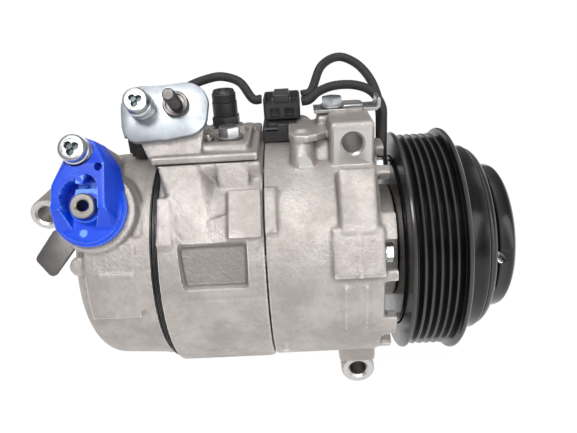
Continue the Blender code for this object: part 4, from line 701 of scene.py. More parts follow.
def port_rod(name, x, up, low, high, *sizes, **more):
    """A rounded rod standing out from the suction port's face."""
    return rounded_rod(name, port_place(x, low, up), port_place(x, high, up), *sizes, **more)


corner = [(REAR_END + 12 * (1 - math.sin(a)), REAR_BODY - 1.2 - 12 * (1 - math.cos(a)))
          for a in (math.radians(9 * i) for i in range(11))]
rear_parts = [
    lathe("rear_body", [(REAR_FRONT, 0), (REAR_FRONT, REAR_BODY - 0.6), (REAR_FRONT - 0.6, REAR_BODY)] + corner
          + [(REAR_END, 0)]),
    port_rod("port_boss", 0, 0, 20, 57.2, 18.3, sides=96, bevel=0.8),
    port_rod("port_flange", 0, 0, 20, 52.6, 19.3, sides=96, bevel=1.2),
    port_rod("port_bolt_boss", CAP_SCREW_X, CAP_SCREW_UP, 20, 51, 7.8, sides=48, bevel=1.0),
    hull("port_bridge", port_points((-14, 38, 8), (10, 38, 8), (-10, 38, 26), (5.5, 38, 26), (-14, 51, 8),
                                    (10, 51, 8), (-10, 50.5, 24), (5.5, 50.5, 24))),
    cross_pin("rear_ear", REAR_EAR_X, REAR_EAR_Z, -25.4, -3, 7.4, sides=56, bevel=0.8),
    hull("rear_ear_arm", [(-218, -23, 41.5), (-218, -5, 41.5), (-200, -22, 41), (-200, -4, 41), (-219, -23, 29),
                          (-219, -5, 29), (-196, -22, 20), (-196, -4, 20)]),
    sector("side_panel", -196.2, REAR_FRONT - 6.6, 44, REAR_BODY + 1.5, 58, 96, 24, 1.2),
    sector("panel_step", -190.0, REAR_FRONT - 3.4, 44, REAR_BODY + 0.7, 55, 92, 20, 1.0),
    sector("panel_rib", -190.0, REAR_FRONT - 7.2, 44, REAR_BODY + 2.1, 72.4, 73.6, 6),
    sector("front_lip", REAR_FRONT - 3.0, REAR_FRONT, 44, REAR_BODY + 0.35, -180, 180, 120),
    rounded_rod("lower_left_boss", around(-199.0, 30, 68), around(-199.0, 53.6, 68), 4.6, sides=32, bevel=1.6),
    rounded_rod("end_button", around(-193.5, 45, 106), around(-193.5, 53.2, 106), 3.0, sides=24, bevel=1.5),
    shaft_pin("end_boss", REAR_END - 2.5, -190, 0, 0, 12.0, sides=64, bevel=1.5),
]
for i in range(BOLTS):
    angle = FIRST_BOLT + i * 360.0 / BOLTS
    rear_parts.append(rounded_rod(
        f"bolt_boss_{i}", around(-168, 46.4, angle), around(-193.5, 45.4, angle), 6.9, 6.2, sides=36, bevel=2.2))
    rear_parts.append(sector(f"rear_rib_{i}", REAR_END + 3, -178, 30, REAR_BODY - 4.4, angle + 24, angle + 26.6, 4,
                             0.4))
rear_housing = fuse("rear_housing_casting", rear_parts, voxel=0.75, rounds=5)
mark_relief(rear_housing)
paint(rear_housing, CASTING, MILLED)
chamber = lathe("rear_chambers", [
    (REAR_FRONT + 4, 33), (REAR_FRONT - 22, 33), (REAR_FRONT - 22, 0), (REAR_FRONT + 4, 0)], 96)
ring_chamber = lathe("suction_ring", [
    (REAR_FRONT + 4, 43.5), (REAR_FRONT - 22, 43.5), (REAR_FRONT - 22, 36), (REAR_FRONT + 4, 36)], 96)
machine(rear_housing, [
    chamber, ring_chamber,
    block("front_cut", (REAR_FRONT - 0.1, -80, -80), (REAR_FRONT + 9, 80, 80)),
    port_rod("port_bore", 0, 0, 38, 80, 9.0, sides=64),
    port_rod("port_thread", CAP_SCREW_X, CAP_SCREW_UP, 28, 80, 3.3, sides=32),
    cross_pin("ear_hole", REAR_EAR_X, REAR_EAR_Z, -40, 10, 4.1, sides=48),
    cross_pin("ear_face", REAR_EAR_X, REAR_EAR_Z, -40, -25.0, 12, sides=48),
    cross_pin("ear_ring", REAR_EAR_X, REAR_EAR_Z, -26, -24.2, 6.4, 4.1, sides=48),
    shaft_pin("valve_hole", -190, -215, 0, 0, 8.3, sides=48),
])
machine(rear_housing, [port_rod("port_mouth", 0, 0, 56.95, 80, 21, sides=64)], bright=False)
machine(rear_housing, [bolt_holes("rear_threads", REAR_FRONT + 4, -184)])
finished(rear_housing, "case", "rear_housing")


# Muffler cover: the casting that closes the muffler chamber, with the discharge port's neck standing on it.
# A raised rim rings the recess where its hex bolt and a core plug sit, and the seam below it is sealed.
DISCHARGE = Matrix.Rotation(-math.radians(31.0), 4, "X")


def discharge_place(x, out, up):
    return DISCHARGE @ Vector((x * MM, -out * MM, up * MM))


def discharge_points(*points):
    return [tuple(discharge_place(*p) / MM) for p in points]


def discharge_rod(name, x, up, low, high, *sizes, **more):
    """A rounded rod standing out from the discharge port's face."""
    return rounded_rod(name, discharge_place(x, low, up), discharge_place(x, high, up), *sizes, **more)


COVER_BOLT = (-131.5, -11)
RELIEF = (-135.5, 13)
SCREW_X, SCREW_UP = -167.5, 60
STUD_X, STUD_UP = -152.5, 60.5
cover_parts = [
    block("cover_slab", (-165.6, -28.7, MUFFLER_TOP + 0.45), (-118.0, 23.8, 61.2), 0, 0.9),
    hull("discharge_neck", [(-165.8, -27.9, 58), (-144, -27.9, 58), (-144, 2, 58), (-165.8, 2, 58)] + discharge_points(
        (-171.5, 54.9, 48.2), (-165, 54.9, 46.8), (-150, 54.9, 47.6), (-144.6, 54.9, 51), (-140, 54.9, 59.5),
        (-143.8, 54.9, 66.8), (-150, 54.9, 70), (-168.5, 54.9, 66.5), (-174.5, 54.9, 59))),
    hull("bolt_boss", [(-146.5, -24.2, 58), (-121.2, -24.2, 58), (-146.5, 18, 58), (-121.2, 18, 58),
                       (-147.6, -20.5, 64.2), (-122.0, -20.5, 64.2), (-147.6, 13.5, 64.2), (-122.0, 13.5, 64.2),
                       (-144.6, -24.2, 61), (-122.5, -25.4, 61), (-145.5, -22.3, 63.6), (-123.5, -23.4, 63.6)]),
    hull("boss_front", [(-137.0, -28.4, 57.7), (-122.5, -28.4, 57.7), (-136.5, -27.6, 60.6), (-123.2, -27.6, 60.6),
                        (-138.5, -20, 57.7), (-121.2, -20, 57.7), (-138, -20, 63), (-121.8, -20, 63)]),
    pin("relief_boss", (*RELIEF, 58), (*RELIEF, 63.6), 9.2, sides=48, bevel=0.8),
    block("back_web", (-162, 6, 58), (-120, 9, 63.4), 0, 0.8),
]
muffler_cover = fuse("muffler_cover_casting", cover_parts, voxel=0.65, rounds=4)
recess = hull("bolt_recess", [(x, y, z) for z in (61.9, 70) for x, y in (
        (-145.6, -12), (-144.6, -16.5), (-141.0, -18.9), (-127.5, -19.2), (-124.2, -17.2), (-123.2, -13), (-123.2, 2),
        (-126, 6), (-142.8, 6), (-145.6, 3))])
machine(muffler_cover, [recess], bright=False)
mark_relief(muffler_cover)
paint(muffler_cover, CASTING, MILLED)
machine(muffler_cover, [
    block("seam_flat", (-180, -60, 40), (-100, 60, MUFFLER_TOP + 0.5)),
    discharge_rod("port_face_cut", -157.5, 60, 54.95, 80, 21.5, sides=96),
    discharge_rod("bolt_hole", SCREW_X, SCREW_UP, 42, 80, 3.3, sides=32),
    discharge_rod("stud_hole", STUD_X, STUD_UP, 42, 80, 3.3, sides=32),
    pin("cover_bolt_hole", (*COVER_BOLT, 56), (*COVER_BOLT, 80), 2.8, sides=32),
    pin("relief_seat", (*RELIEF, 63.4), (*RELIEF, 70), 9.6, sides=48),
])
finished(muffler_cover, "case", "muffler_cover")


# Core plug: a cup pressed from aluminium sheet, driven into the sand hole beside the cover's bolt.
# It has no node of its own and belongs to the cover.
def shape_on(name, outline, matrix, steps=64):
    """A turned shape whose axis is the matrix's local Z, from (height, radius) points in millimetres."""
    made = lathe(name, outline, steps)
    made.data.transform(matrix @ Matrix.Rotation(-math.pi / 2, 4, "Y"))
    return made


def upright(x, y, z=0.0):
    """A frame at a place in millimetres, for shape_on."""
    return Matrix.Translation(Vector((x, y, z)) * MM)


core_plug = shape_on("core_plug", [(0, 0), (0, 2.3), (0.3, 2.8), (1.5, 2.9), (2.0, 2.6), (2.0, 1.9), (1.3, 1.6),
                                   (1.3, 0)],
                     upright(-141.9, -8.0, 61.9), 48)
soften(paint(core_plug, MILLED), 30)
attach(core_plug, "case")


# Steel fasteners: zinc-plated screws, the black stud and the spacers under their heads, all turned or cold-headed.
# The plating is passivated, so it is bluish with a faint yellow bloom, and it is scuffed where a tool has turned it.
def plated_steel(name, light, dark, roughness=0.26, metallic=1.0, bloom=(0.86, 0.84, 0.76)):
    """Plated, blackened or ground steel: cloudy, faintly spangled, with painted shade in corners."""
    made, tree, shader, spot = blank_material(name, Metallic=metallic, Roughness=roughness)
    cloud = noise(tree, spot, 150.0, 6.0, 0.65)
    flecks = wire(tree, "ShaderNodeTexVoronoi", {"feature": "F1"}, Vector=spot, Scale=1500.0)
    base = tone(tree, ramp(tree, cloud, (0.3, 0.7)), dark, light)
    base = tone(tree, math_node(tree, "MULTIPLY", flecks.outputs["Distance"], 0.25), base, bloom)
    # Painted shade: the corners are darkened towards a deeper tone of the dark colour.
    base = tone(tree, effect(tree, EDGE_AND_CORNER, spot)["Corner"], base, scaled(dark, 0.45))
    dress(tree, shader, base, cloud, 0.00002, 0.6, (cloud, roughness + 0.12, roughness - 0.1))
    return made


ZINC = plated_steel("zinc_plate", (0.66, 0.68, 0.70), (0.46, 0.49, 0.52), 0.3)
PLATE_ZINC = plated_steel("zinc_sheet", (0.40, 0.43, 0.465), (0.29, 0.315, 0.345), 0.4, 0.95, (0.55, 0.57, 0.58))
BLACK_STEEL = plated_steel("blackened_steel", (0.115, 0.105, 0.10), (0.06, 0.055, 0.055), 0.36, 0.85, (0.2, 0.19, 0.18))
TURNED_STEEL = plated_steel("turned_steel", (0.36, 0.335, 0.315), (0.25, 0.235, 0.225), 0.33, 1.0, (0.45, 0.43, 0.40))
STRAP_STEEL = plated_steel("spring_steel", (0.215, 0.205, 0.20), (0.15, 0.14, 0.138), 0.42, 0.9, (0.28, 0.27, 0.26))
# A darker steel for the drive recess: painted shade inside the recess.
RECESS_SHADE_STEEL = plated_steel("drive_recess", (0.16, 0.19, 0.19), (0.08, 0.09, 0.095), 0.5, 0.8, (0.2, 0.24, 0.24))


def axis_frame(start, end):
    """A frame standing at start, its Z axis towards end."""
    start, end = Vector(start), Vector(end)
    return Matrix.Translation(start) @ (end - start).to_track_quat("Z", "Y").to_matrix().to_4x4()


def standing(place_at, x, up, low):
    """A frame that stands out from a port, its foot at the height low."""
    return axis_frame(place_at(x, low, up), place_at(x, 80, up))


def threads(radius, low, high, pitch, depth):
    """The stepped outline of a thread, as (height, radius) points."""
    points = []
    count = int((high - low) / pitch)
    for i in range(count):
        z = low + i * pitch
        points += [(z, radius - depth), (z + pitch * 0.3, radius), (z + pitch * 0.55, radius),
                   (z + pitch * 0.85, radius - depth)]
    return points


def socket_screw(name, frame_at, head_radius, head, shank_radius, shank, sockets=3):
    """A round-headed screw with a lobed drive recess. The frame stands at the head's underside."""
    outline = [(-shank, 0), (-shank, shank_radius - 0.6)] + threads(shank_radius, -shank + 0.6, -1.2, 1.0, 0.25)
    outline += [(0, shank_radius), (0, head_radius - 0.2), (0.25, head_radius), (1.2, head_radius),
                (1.6, head_radius - 0.5), (head - 0.9, head_radius - 0.55), (head - 0.2, head_radius - 1.0),
                (head, head_radius - 1.5), (head, head_radius * 0.62), (head - 0.35, head_radius * 0.56),
                (head - 0.35, 0)]
    made = shape_on(name, outline, frame_at)
    tools = []
    for i in range(sockets):
        a = 2 * math.pi * i / sockets + 0.35
        x, y = math.cos(a) * head_radius * 0.27, math.sin(a) * head_radius * 0.27
        tools.append(rounded_rod(f"{name}_lobe_{i}", frame_at @ (Vector((x, y, head - 2.2)) * MM),
                                 frame_at @ (Vector((x, y, head + 1)) * MM), head_radius * 0.22, head_radius * 0.3,
                                 sides=20))
    # The lobe cuts take the darker steel: painted shade inside the drive recess.
    return machine(paint(made, ZINC, RECESS_SHADE_STEEL), tools)


def washer(name, frame_at, height, outer, inner):
    outline = [(0, inner), (0, outer - 0.3), (0.3, outer), (height * 0.42, outer), (height * 0.5, outer - 0.35),
               (height * 0.58, outer), (height - 0.3, outer), (height, outer - 0.3), (height, inner)]
    return shape_on(name, outline, frame_at)


plate_axis = standing(discharge_place, SCREW_X, SCREW_UP, 64.95)
plate_bolt = socket_screw("plate_screw", plate_axis, 6.1, 5.0, 3.0, 21)
finished(plate_bolt, "case", "plate_bolt")
spacer_axis = standing(discharge_place, SCREW_X, SCREW_UP, 58.75)
plate_spacer = washer("plate_screw_spacer", spacer_axis, 5.9, 5.9, 3.35)
finished(paint(plate_spacer, ZINC), "case", "plate_bolt_spacer")
stud_axis = standing(discharge_place, STUD_X, STUD_UP, 45)
plate_stud = shape_on("plate_stud_screw", [(0, 0), (0, 2.6)] + threads(2.95, 0.5, 12.0, 1.0, 0.25) + [
    (13.55, 2.9), (13.55, 5.3), (13.9, 5.7), (15.6, 5.7), (16.0, 5.3), (16.0, 4.4), (15.2, 4.1), (15.2, 2.7)] + threads(
    2.9, 16.0, 26.0, 1.0, 0.28) + [(26.4, 2.7), (27.6, 2.6), (28.0, 2.1), (28.0, 0)], stud_axis)
finished(paint(plate_stud, BLACK_STEEL), "case", "plate_stud")

cover_bolt = pin("cover_hex_bolt", (*COVER_BOLT, 64.2), (*COVER_BOLT, 69.2), 5.3, sides=6, bevel=0.5)
crown = shape_on("crown", [(58, 0), (58, 2.4), (63.6, 2.4), (63.6, 6.1), (63.9, 6.3), (64.7, 6.3), (65.1, 5.4),
                           (65.1, 0)], upright(*COVER_BOLT), 48)
weld(cover_bolt, [crown])
finished(paint(cover_bolt, ZINC), "case", "cover_bolt", 25)


# Discharge cover plate: a plate that closes the port for transport, held by a screw and by the stud.
# It is stamped from steel sheet with rolled edges, zinc plated, and scratched from handling.
def spot_group():
    """Scattered handling marks and fine scratches, as a mask."""
    tree, given, taken = group("handling_marks", {"Vector": None, "Scale": 60.0}, ["Marks"])
    long = wire(tree, "ShaderNodeMapping", Vector=given.outputs["Vector"], Scale=(1.0, 14.0, 5.0),
                Rotation=(0.3, 0.2, 0.7))
    lines = noise(tree, long.outputs[0], given.outputs["Scale"], 5.0, 0.7)
    patch = noise(tree, given.outputs["Vector"], 38.0, 3.0)
    marks = math_node(tree, "MULTIPLY", ramp(tree, lines, (0.55, 0.68)), ramp(tree, patch, (0.42, 0.62)))
    tree.links.new(marks, taken.inputs["Marks"])
    return tree


HANDLING_MARKS = spot_group()
plate_outline = (
    arc(-167.6, 60.4, 9.9, 75, 185, 14) + [(-177.2, 52.0), (-176.0, 47.2)] + arc(-170.5, 50.0, 5.4, 205, 265, 6)
    + arc(-158.0, 53.5, 8.6, 255, 290, 5) + arc(-148.8, 56.2, 9.8, 282, 345, 9)
    + arc(-148.6, 60.6, 10.2, 0, 98, 14) + [(-158.5, 70.0)])
cover_plate = slab("cover_plate_sheet", plate_outline, 55.3, 58.4, DISCHARGE, 0.55)
machine(cover_plate, [
    discharge_rod("plate_hole_a", SCREW_X, SCREW_UP, 50, 70, 3.3, sides=48),
    discharge_rod("plate_hole_b", STUD_X, STUD_UP, 50, 70, 3.3, sides=48),
], bright=False)
finished(paint(cover_plate, PLATE_ZINC), "case", "discharge_cover_plate", 25)


# Relief valve: a black body screwed into the cover, which vents the muffler if its pressure runs too high.
# Its body is moulded in black nylon, and a zinc-plated thread shows above its hexagon.
def plastic(name, light, dark, roughness, depth=0.00004):
    """Moulded plastic or rubber: fine pebble, faint flow mottle, paler on rubbed edges."""
    made, tree, shader, spot = blank_material(name, Roughness=roughness, IOR=1.5)
    skin = effect(tree, CAST_GRAIN, spot, Scale=2600.0)
    marks = effect(tree, HANDLING_MARKS, spot, Scale=70.0)
    base = tone(tree, skin["Mottle"], dark, light)
    rubbed, scratched = (tuple(min(1.0, c * gain + lift) for c in light) for gain, lift in ((1.35, 0.01), (1.5, 0.05)))
    base = tone(tree, effect(tree, EDGE_AND_CORNER, spot)["Edge"], base, rubbed)
    base = tone(tree, math_node(tree, "MULTIPLY", marks["Marks"], 0.18), base, scratched)
    dress(tree, shader, base, skin["Height"], depth, rough=(skin["Mottle"], roughness + 0.06, roughness - 0.05))
    return made


BLACK_PLASTIC = plastic("black_nylon", (0.030, 0.029, 0.031), (0.018, 0.018, 0.02), 0.42)
RUBBER = plastic("black_rubber_skin", (0.022, 0.022, 0.022), (0.014, 0.014, 0.014), 0.62, 0.00006)
relief_valve = pin("relief_valve_body", (*RELIEF, 63.9), (*RELIEF, 68.6), 7.4, sides=6, bevel=0.5)
relief_outline = [(66, 0), (66, 5.6), (69.2, 6.2), (75.4, 6.2)] + threads(6.0, 75.6, 80.2, 1.1, 0.4) + [
    (80.6, 5.4), (81.4, 5.0), (81.4, 2.6), (79.8, 2.2), (79.8, 0)]
relief_top = shape_on("relief_top", relief_outline, upright(*RELIEF))
weld(relief_valve, [relief_top])
for face in relief_valve.data.polygons:
    face.material_index = 1 if face.center.z > 75.3 * MM else 0
finished(paint(relief_valve, BLACK_PLASTIC, ZINC), "case", "relief_valve", 28)


# Suction port cap: a blue polyethylene moulding that keeps the port clean, with a walled recess round its steel bush.
# One screw through its lobe holds it to the housing, and two drafted legs end short of the round flange.
def blue_cap_material():
    """Deep blue polyethylene, with painted shade in corners and a painted highlight on its edges."""
    made, tree, shader, spot = blank_material(
        "blue_polyethylene", Roughness=0.34, IOR=1.45, Coat_Weight=0.1, Coat_Roughness=0.2)
    skin = effect(tree, CAST_GRAIN, spot, Scale=1500.0)
    edges_and_shade = effect(tree, EDGE_AND_CORNER, spot)
    marks = effect(tree, HANDLING_MARKS, spot, Scale=70.0)
    base = tone(tree, skin["Mottle"], (0.0, 0.045, 0.56), (0.0, 0.068, 0.74))
    # Painted shade: the corners are darkened to a deeper blue.
    base = tone(tree, edges_and_shade["Corner"], base, (0.0, 0.012, 0.36))
    # Painted highlight: the edges are lightened to a pale blue.
    base = tone(tree, edges_and_shade["Edge"], base, (0.16, 0.34, 0.92))
    base = tone(tree, math_node(tree, "MULTIPLY", marks["Marks"], 0.25), base, (0.06, 0.25, 0.9))
    dress(tree, shader, base, skin["Height"], 0.00005)
    return made


BLUE = blue_cap_material()
CAP_LOW = 61.0
CAP_TOP = 69.9


def port_prism(name, low, high, *outline):
    """A convex outline in the port's frame, raised from low to high."""
    return hull(name, port_points(*[(x, out, up) for out in (low, high) for x, up in outline]))


def port_disc(name, x, up, low, high, radius, bevel=0.5):
    return port_rod(name, x, up, low, high, radius, sides=72, bevel=bevel)


cap_sections = [
    (57.4, [(-15.0, -2), (-14.6, 9), (-9.5, 18.5), (-8.2, 25), (-5, 30), (2, 30.6), (6.5, 28), (12.5, 19), (14.2, 10),
            (14.4, -1)]),
    (CAP_TOP - 1.2, [(-13.2, 0), (-12.9, 10), (-7.9, 18.4), (10.0, 18.6), (10.2, 0.3)]),
    (CAP_TOP, [(-12.7, 0.2), (-12.4, 9.8), (-7.4, 17.9), (9.6, 18.2), (9.8, 0.6)]),
    (65.6, [(-7.6, 24.5), (-4.5, 29.4), (0, 30.6), (4, 29), (8.4, 23)]),
]
cap_parts = [
    port_disc("cap_flange", -0.9, 0.6, 57.35, 59.9, 16.5, 0.6),
    port_disc("cap_disc", -1.1, 0.8, 57.35, CAP_LOW, 15.2, 0.5),
    hull("cap_wall", port_points(*[(x, out, up) for out, outline in cap_sections for x, up in outline])),
    hull("cap_left_leg", port_points((-13.2, CAP_TOP, 1), (-9.0, CAP_TOP, 1), (-13.0, CAP_TOP, -0.4),
                                     (-9.2, CAP_TOP, -0.4), (-14.8, 60.4, -9.0), (-7.2, 60.4, -9.1), (-15.2, 60.4, 1),
                                     (-7.0, 60.4, 1))),
    hull("cap_right_leg", port_points((6.9, CAP_TOP, 1), (9.9, CAP_TOP, 1), (6.9, CAP_TOP, -0.2), (9.8, CAP_TOP, -0.2),
                                      (2.5, 60.4, -8.5), (9.8, 60.4, -8.7), (2.6, 60.4, 1), (13.2, 60.4, 1),
                                      (12.0, 60.4, -6))),
]
port_cap = fuse("port_cap_moulding", cap_parts, voxel=0.5, rounds=3)
well_outline = arc(-1.3, 4.2, 8.0, 90, 270, 14) + [(1.5, -3.8), (6.0, -3.5), (6.8, -1.0), (6.8, 8.5)] + arc(
    0.9, 8.4, 5.9, 5, 75, 6)
machine(port_cap, [
    port_prism("cap_well", 61.8, 75, *well_outline),
    port_prism("cap_slot", 61.05, 75, (-7.2, 1), (2.6, 1), (2.3, -12), (-7.0, -12)),
    port_prism("cap_throat", 61.4, 75, (-8.8, 3), (6.7, 3), (3.0, -4.5), (-7.2, -4.5)),
], bright=False)
weld(port_cap, [
    port_prism("cap_post", 61.5, CAP_TOP - 0.1, (-2.2, 10.2), (0.9, 10.2), (1.2, 15.5), (-2.5, 15.5)),
    port_disc("bush_holder", 0.0, 1.2, 61.2, 65.4, 7.0, 0.4),
    port_prism("holder_rib", 61.2, 66.4, (-4.5, 4), (6.9, 4), (6.9, 8.2), (-3.5, 8.2)),
])
machine(port_cap, [
    port_disc("bush_hole", 0.1, 0.9, 57.6, 75, 5.45, 0.0),
    port_disc("cap_pin_hole", 7.3, 16.9, 64.0, 75, 1.8, 0.0),
    port_disc("cap_screw_hole", CAP_SCREW_X, CAP_SCREW_UP, 50, 80, 3.35, 0.0),
    port_disc("cap_screw_seat", CAP_SCREW_X, CAP_SCREW_UP, 65.55, 80, 7.3, 0.0),
    port_disc("gate_ring", -2.7, -9.9, 60.85, 62, 1.9, 0.0),
], bright=False)
weld(port_cap, [port_disc("gate_mark", -2.7, -9.9, 60.5, 61.0, 1.6, 0.0)])
mark_relief(port_cap, 4)
finished(paint(port_cap, BLUE), "case", "port_cap", 30)

bush_axis = standing(port_place, 0.1, 0.9, 60.5)
cap_bush = shape_on("cap_steel_bush", [(0, 2.35), (0, 5.0), (0.3, 5.25), (8.3, 5.25), (8.8, 4.8), (8.8, 3.2),
                                       (8.3, 2.55), (7.6, 2.35)], bush_axis)
finished(paint(cap_bush, TURNED_STEEL), "case", "cap_bush")
cap_spacer_axis = standing(port_place, CAP_SCREW_X, CAP_SCREW_UP, 65.65)
cap_spacer = washer("cap_screw_spacer", cap_spacer_axis, 3.2, 6.3, 3.35)
finished(paint(cap_spacer, ZINC), "case", "cap_bolt_spacer")
cap_screw_axis = standing(port_place, CAP_SCREW_X, CAP_SCREW_UP, 68.95)
cap_screw = socket_screw("cap_screw", cap_screw_axis, 6.3, 5.0, 3.0, 26)
finished(cap_screw, "case", "cap_bolt")


# Cap strap: a flat tab under the transit cap's foot, its free end past the housing.
# It is blanked from spring steel, blackened, and held by the cap's screw.
strap_outline = [(-12.2, -4.0), (-20.0, -7.4), (-27.2, -18.2), (-27.6, -19.6), (-27.0, -20.8), (-21.6, -26.8),
                 (-20.0, -27.4), (-18.4, -26.6), (-10.2, -15.6), (-9.0, -12.5)]
strap_outline = [(x - 190.5, u + 15.5) for x, u in strap_outline]
cap_strap = slab("cap_strap_tab", strap_outline, 50.9, 52.9, DISCHARGE, 0.5)
finished(paint(cap_strap, STRAP_STEEL), "case", "cap_strap", 25)


# Valve plate and rear gasket: a ground steel plate and its beaded metal gasket, clamped before the rear housing.
# Only their dark edges show, as a band of fine ridges between the two castings.
BAND = plated_steel("valve_plate_edge", (0.105, 0.10, 0.098), (0.055, 0.052, 0.052), 0.42, 0.85, (0.16, 0.15, 0.15))
valve_plate = lathe("valve_plate_disc", [(-163.6, 12)] + [(-163.6 - x, r) for x, r in (
    (0.0, 54.6), (0.3, 55.4), (0.55, 55.4), (0.7, 54.9), (0.95, 55.6), (1.2, 55.6), (1.35, 55.0), (1.6, 55.5),
    (1.85, 55.5), (2.1, 54.9), (2.25, 53.8), (2.4, 53.4))] + [(-166.0, 12)])
machine(paint(valve_plate, BAND, TURNED_STEEL), [
    ring_tool("plate_ports", -160, -170, CYLINDER_CIRCLE, 3.0, CYLINDERS, BORE_TURN, 32),
    bolt_holes("plate_bolt_holes", -160, -170),
])
finished(valve_plate, "case", "valve_plate", 25)
gasket = lathe("rear_gasket_sheet", [(-166.3, 45.6), (-166.3, 53.9), (-166.5, 54.3), (-166.7, 54.3), (-166.9, 53.9),
                                     (-166.9, 45.6)])
machine(paint(gasket, BAND), [bolt_holes("gasket_holes", -160, -170)], bright=False)
finished(gasket, "case", "rear_gasket", 25)


# Wiring: the plug on its holder, the sensor lead with its red seal, and the two braided leads to the coil.
# The plug and holder are black nylon mouldings, and each lead is copper strands in a black sleeve.
def leads_material():
    """Black braid: two crossed sets of strands along the lead, with dust between them."""
    made, tree, shader, spot = blank_material("braided_sleeve", Roughness=0.55, Specular_IOR_Level=0.4)
    place_on = wire(tree, "ShaderNodeAttribute", {"attribute_name": "along_round"})
    weave = []
    for turn in (0.62, -0.62):
        tilt = wire(tree, "ShaderNodeMapping", Vector=place_on.outputs["Vector"], Rotation=(0.0, 0.0, turn))
        strands = wire(tree, "ShaderNodeTexWave", {"wave_type": "BANDS"}, Vector=tilt.outputs[0], Scale=0.45)
        weave.append(strands.outputs["Fac"])
    both = math_node(tree, "MAXIMUM", *weave)
    base = tone(tree, both, (0.012, 0.012, 0.013), (0.034, 0.033, 0.034))
    dust = math_node(tree, "MULTIPLY", ramp(tree, noise(tree, spot, 180.0, 4.0), (0.5, 0.7)), 0.3)
    base = tone(tree, dust, base, (0.07, 0.068, 0.066))
    dress(tree, shader, base, both, 0.00012)
    return made


SLEEVE = leads_material()


def smooth_path(points, steps=10):
    """A curve through the points, as even short steps in metres."""
    points = [Vector(p) * MM for p in points]
    ends = [points[0] * 2 - points[1]] + points + [points[-1] * 2 - points[-2]]
    way = []
    for i in range(1, len(ends) - 2):
        a, b, c, d = ends[i - 1:i + 3]
        for k in range(steps):
            t = k / steps
            way.append(0.5 * ((2 * b) + (c - a) * t + (2 * a - 5 * b + 4 * c - d) * t ** 2
                              + (3 * b - a - 3 * c + d) * t ** 3))
    return way + [points[-1]]


def lead(name, points, radius, sides=28, ribs=0.0):
    """A closed round tube along a smooth path. It stores its length and turn for the weave."""
    way = smooth_path(points)
    shape = bmesh.new()
    layer = shape.verts.layers.float_vector.new("along_round")
    up = Vector((0, 0, 1))
    rings, run = [], 0.0
    for i, spot in enumerate(way):
        if i:
            run += (spot - way[i - 1]).length
        ahead = (way[min(i + 1, len(way) - 1)] - way[max(i - 1, 0)]).normalized()
        side = up - ahead * up.dot(ahead)
        side.normalize()
        other = ahead.cross(side)
        up = side
        size = radius * MM * (1.0 + (ribs if i % 2 else 0.0))
        ring = []
        for k in range(sides):
            a = 2 * math.pi * k / sides
            vert = shape.verts.new(spot + (side * math.cos(a) + other * math.sin(a)) * size)
            vert[layer] = (run / MM, a * radius, 0.0)
            ring.append(vert)
        rings.append(ring)
    for first, second in zip(rings, rings[1:]):
        for k in range(sides):
            m = (k + 1) % sides
            shape.faces.new((first[k], first[m], second[m], second[k]))
    shape.faces.new(rings[0][::-1])
    shape.faces.new(rings[-1])
    return from_shape(name, shape)


SENSOR_ROUTE = [(-117.0, 15.5, 75.0), (-121.5, 16.0, 75.5), (-128.0, 24.0, 82.5), (-137.0, 27.0, 85.3),
                (-145.0, 26.5, 84.6), (-154.0, 24.5, 82.0), (-164.0, 23.5, 76.5), (-172.0, 20.5, 69.8),
                (-176.5, 15.0, 63.8), (-177.5, 8.0, 60.7), (-177.5, 2.7, 60.0)]
LONG_ROUTE = [(-96.4, 18.5, 75.5), (-91.5, 20.5, 77.0), (-85.5, 33.5, 86.6), (-76.0, 41.0, 89.8), (-67.0, 38.5, 86.6),
              (-61.0, 30.0, 80.5), (-58.0, 21.0, 73.0), (-57.3, 15.0, 65.0), (-57.5, 12.0, 55.0), (-57.5, 10.8, 47.0),
              (-56.7, 10.5, 40.0)]
SHORT_ROUTE = [(-96.9, 12.5, 73.5), (-93.0, 13.0, 74.0), (-88.0, 17.5, 76.8), (-80.0, 20.0, 78.8),
               (-70.0, 19.3, 78.8), (-62.0, 14.5, 76.3), (-57.5, 9.0, 70.0), (-57.3, 6.0, 62.0), (-57.5, 4.5, 54.0),
               (-57.5, 4.0, 47.0), (-56.7, 4.0, 40.0)]
for name, route in (("sensor_cable", SENSOR_ROUTE), ("coil_cable_long", LONG_ROUTE), ("coil_cable_short", SHORT_ROUTE)):
    cable = lead(name + "_sleeve", route, 2.25, ribs=0.012)
    finished(paint(cable, SLEEVE), "case", name, 60)

holder = block("plug_holder_body", (-116.8, -1.0, 57.0), (-96.8, 22.0, 64.4), 0, 1.1, 4)
machine(paint(holder, BLACK_PLASTIC), [
    block("holder_rail_a", (-115.2, -2.0, 62.6), (-98.4, 23, 63.4)),
    block("holder_groove", (-113.5, -2.0, 58.6), (-109.5, -0.2, 61.6)),
    block("holder_groove_b", (-104.0, -2.0, 58.6), (-100.0, -0.2, 61.6)),
], bright=False)
weld(holder, [
    block("holder_tongue", (-113.8, 1.0, 64.0), (-99.8, 20.0, 66.0), 0, 0.4),
    block("holder_latch", (-109.5, -1.0, 61.0), (-104.1, 2.5, 66.0), 0, 0.5),
])
finished(holder, "case", "connector_holder", 30)
plug = block("plug_shell", (-115.8, 5.0, 66.3), (-97.8, 22.0, 77.6), 0, 1.3, 4)
machine(paint(plug, BLACK_PLASTIC), [
    block("plug_window", (-112.6, 3.0, 68.0), (-101.0, 8.2, 72.4), 0, 0.4),
    block("plug_slot_left", (-114.6, 3.0, 74.3), (-111.4, 18, 80.0), 0, 0.2),
    block("plug_slot_right", (-102.2, 3.0, 74.3), (-99.0, 18, 80.0), 0, 0.2),
    block("plug_waist", (-120, 14.0, 64.0), (-114.9, 16.5, 80)),
    block("plug_waist_b", (-98.7, 14.0, 64.0), (-90, 16.5, 80)),
], bright=False)
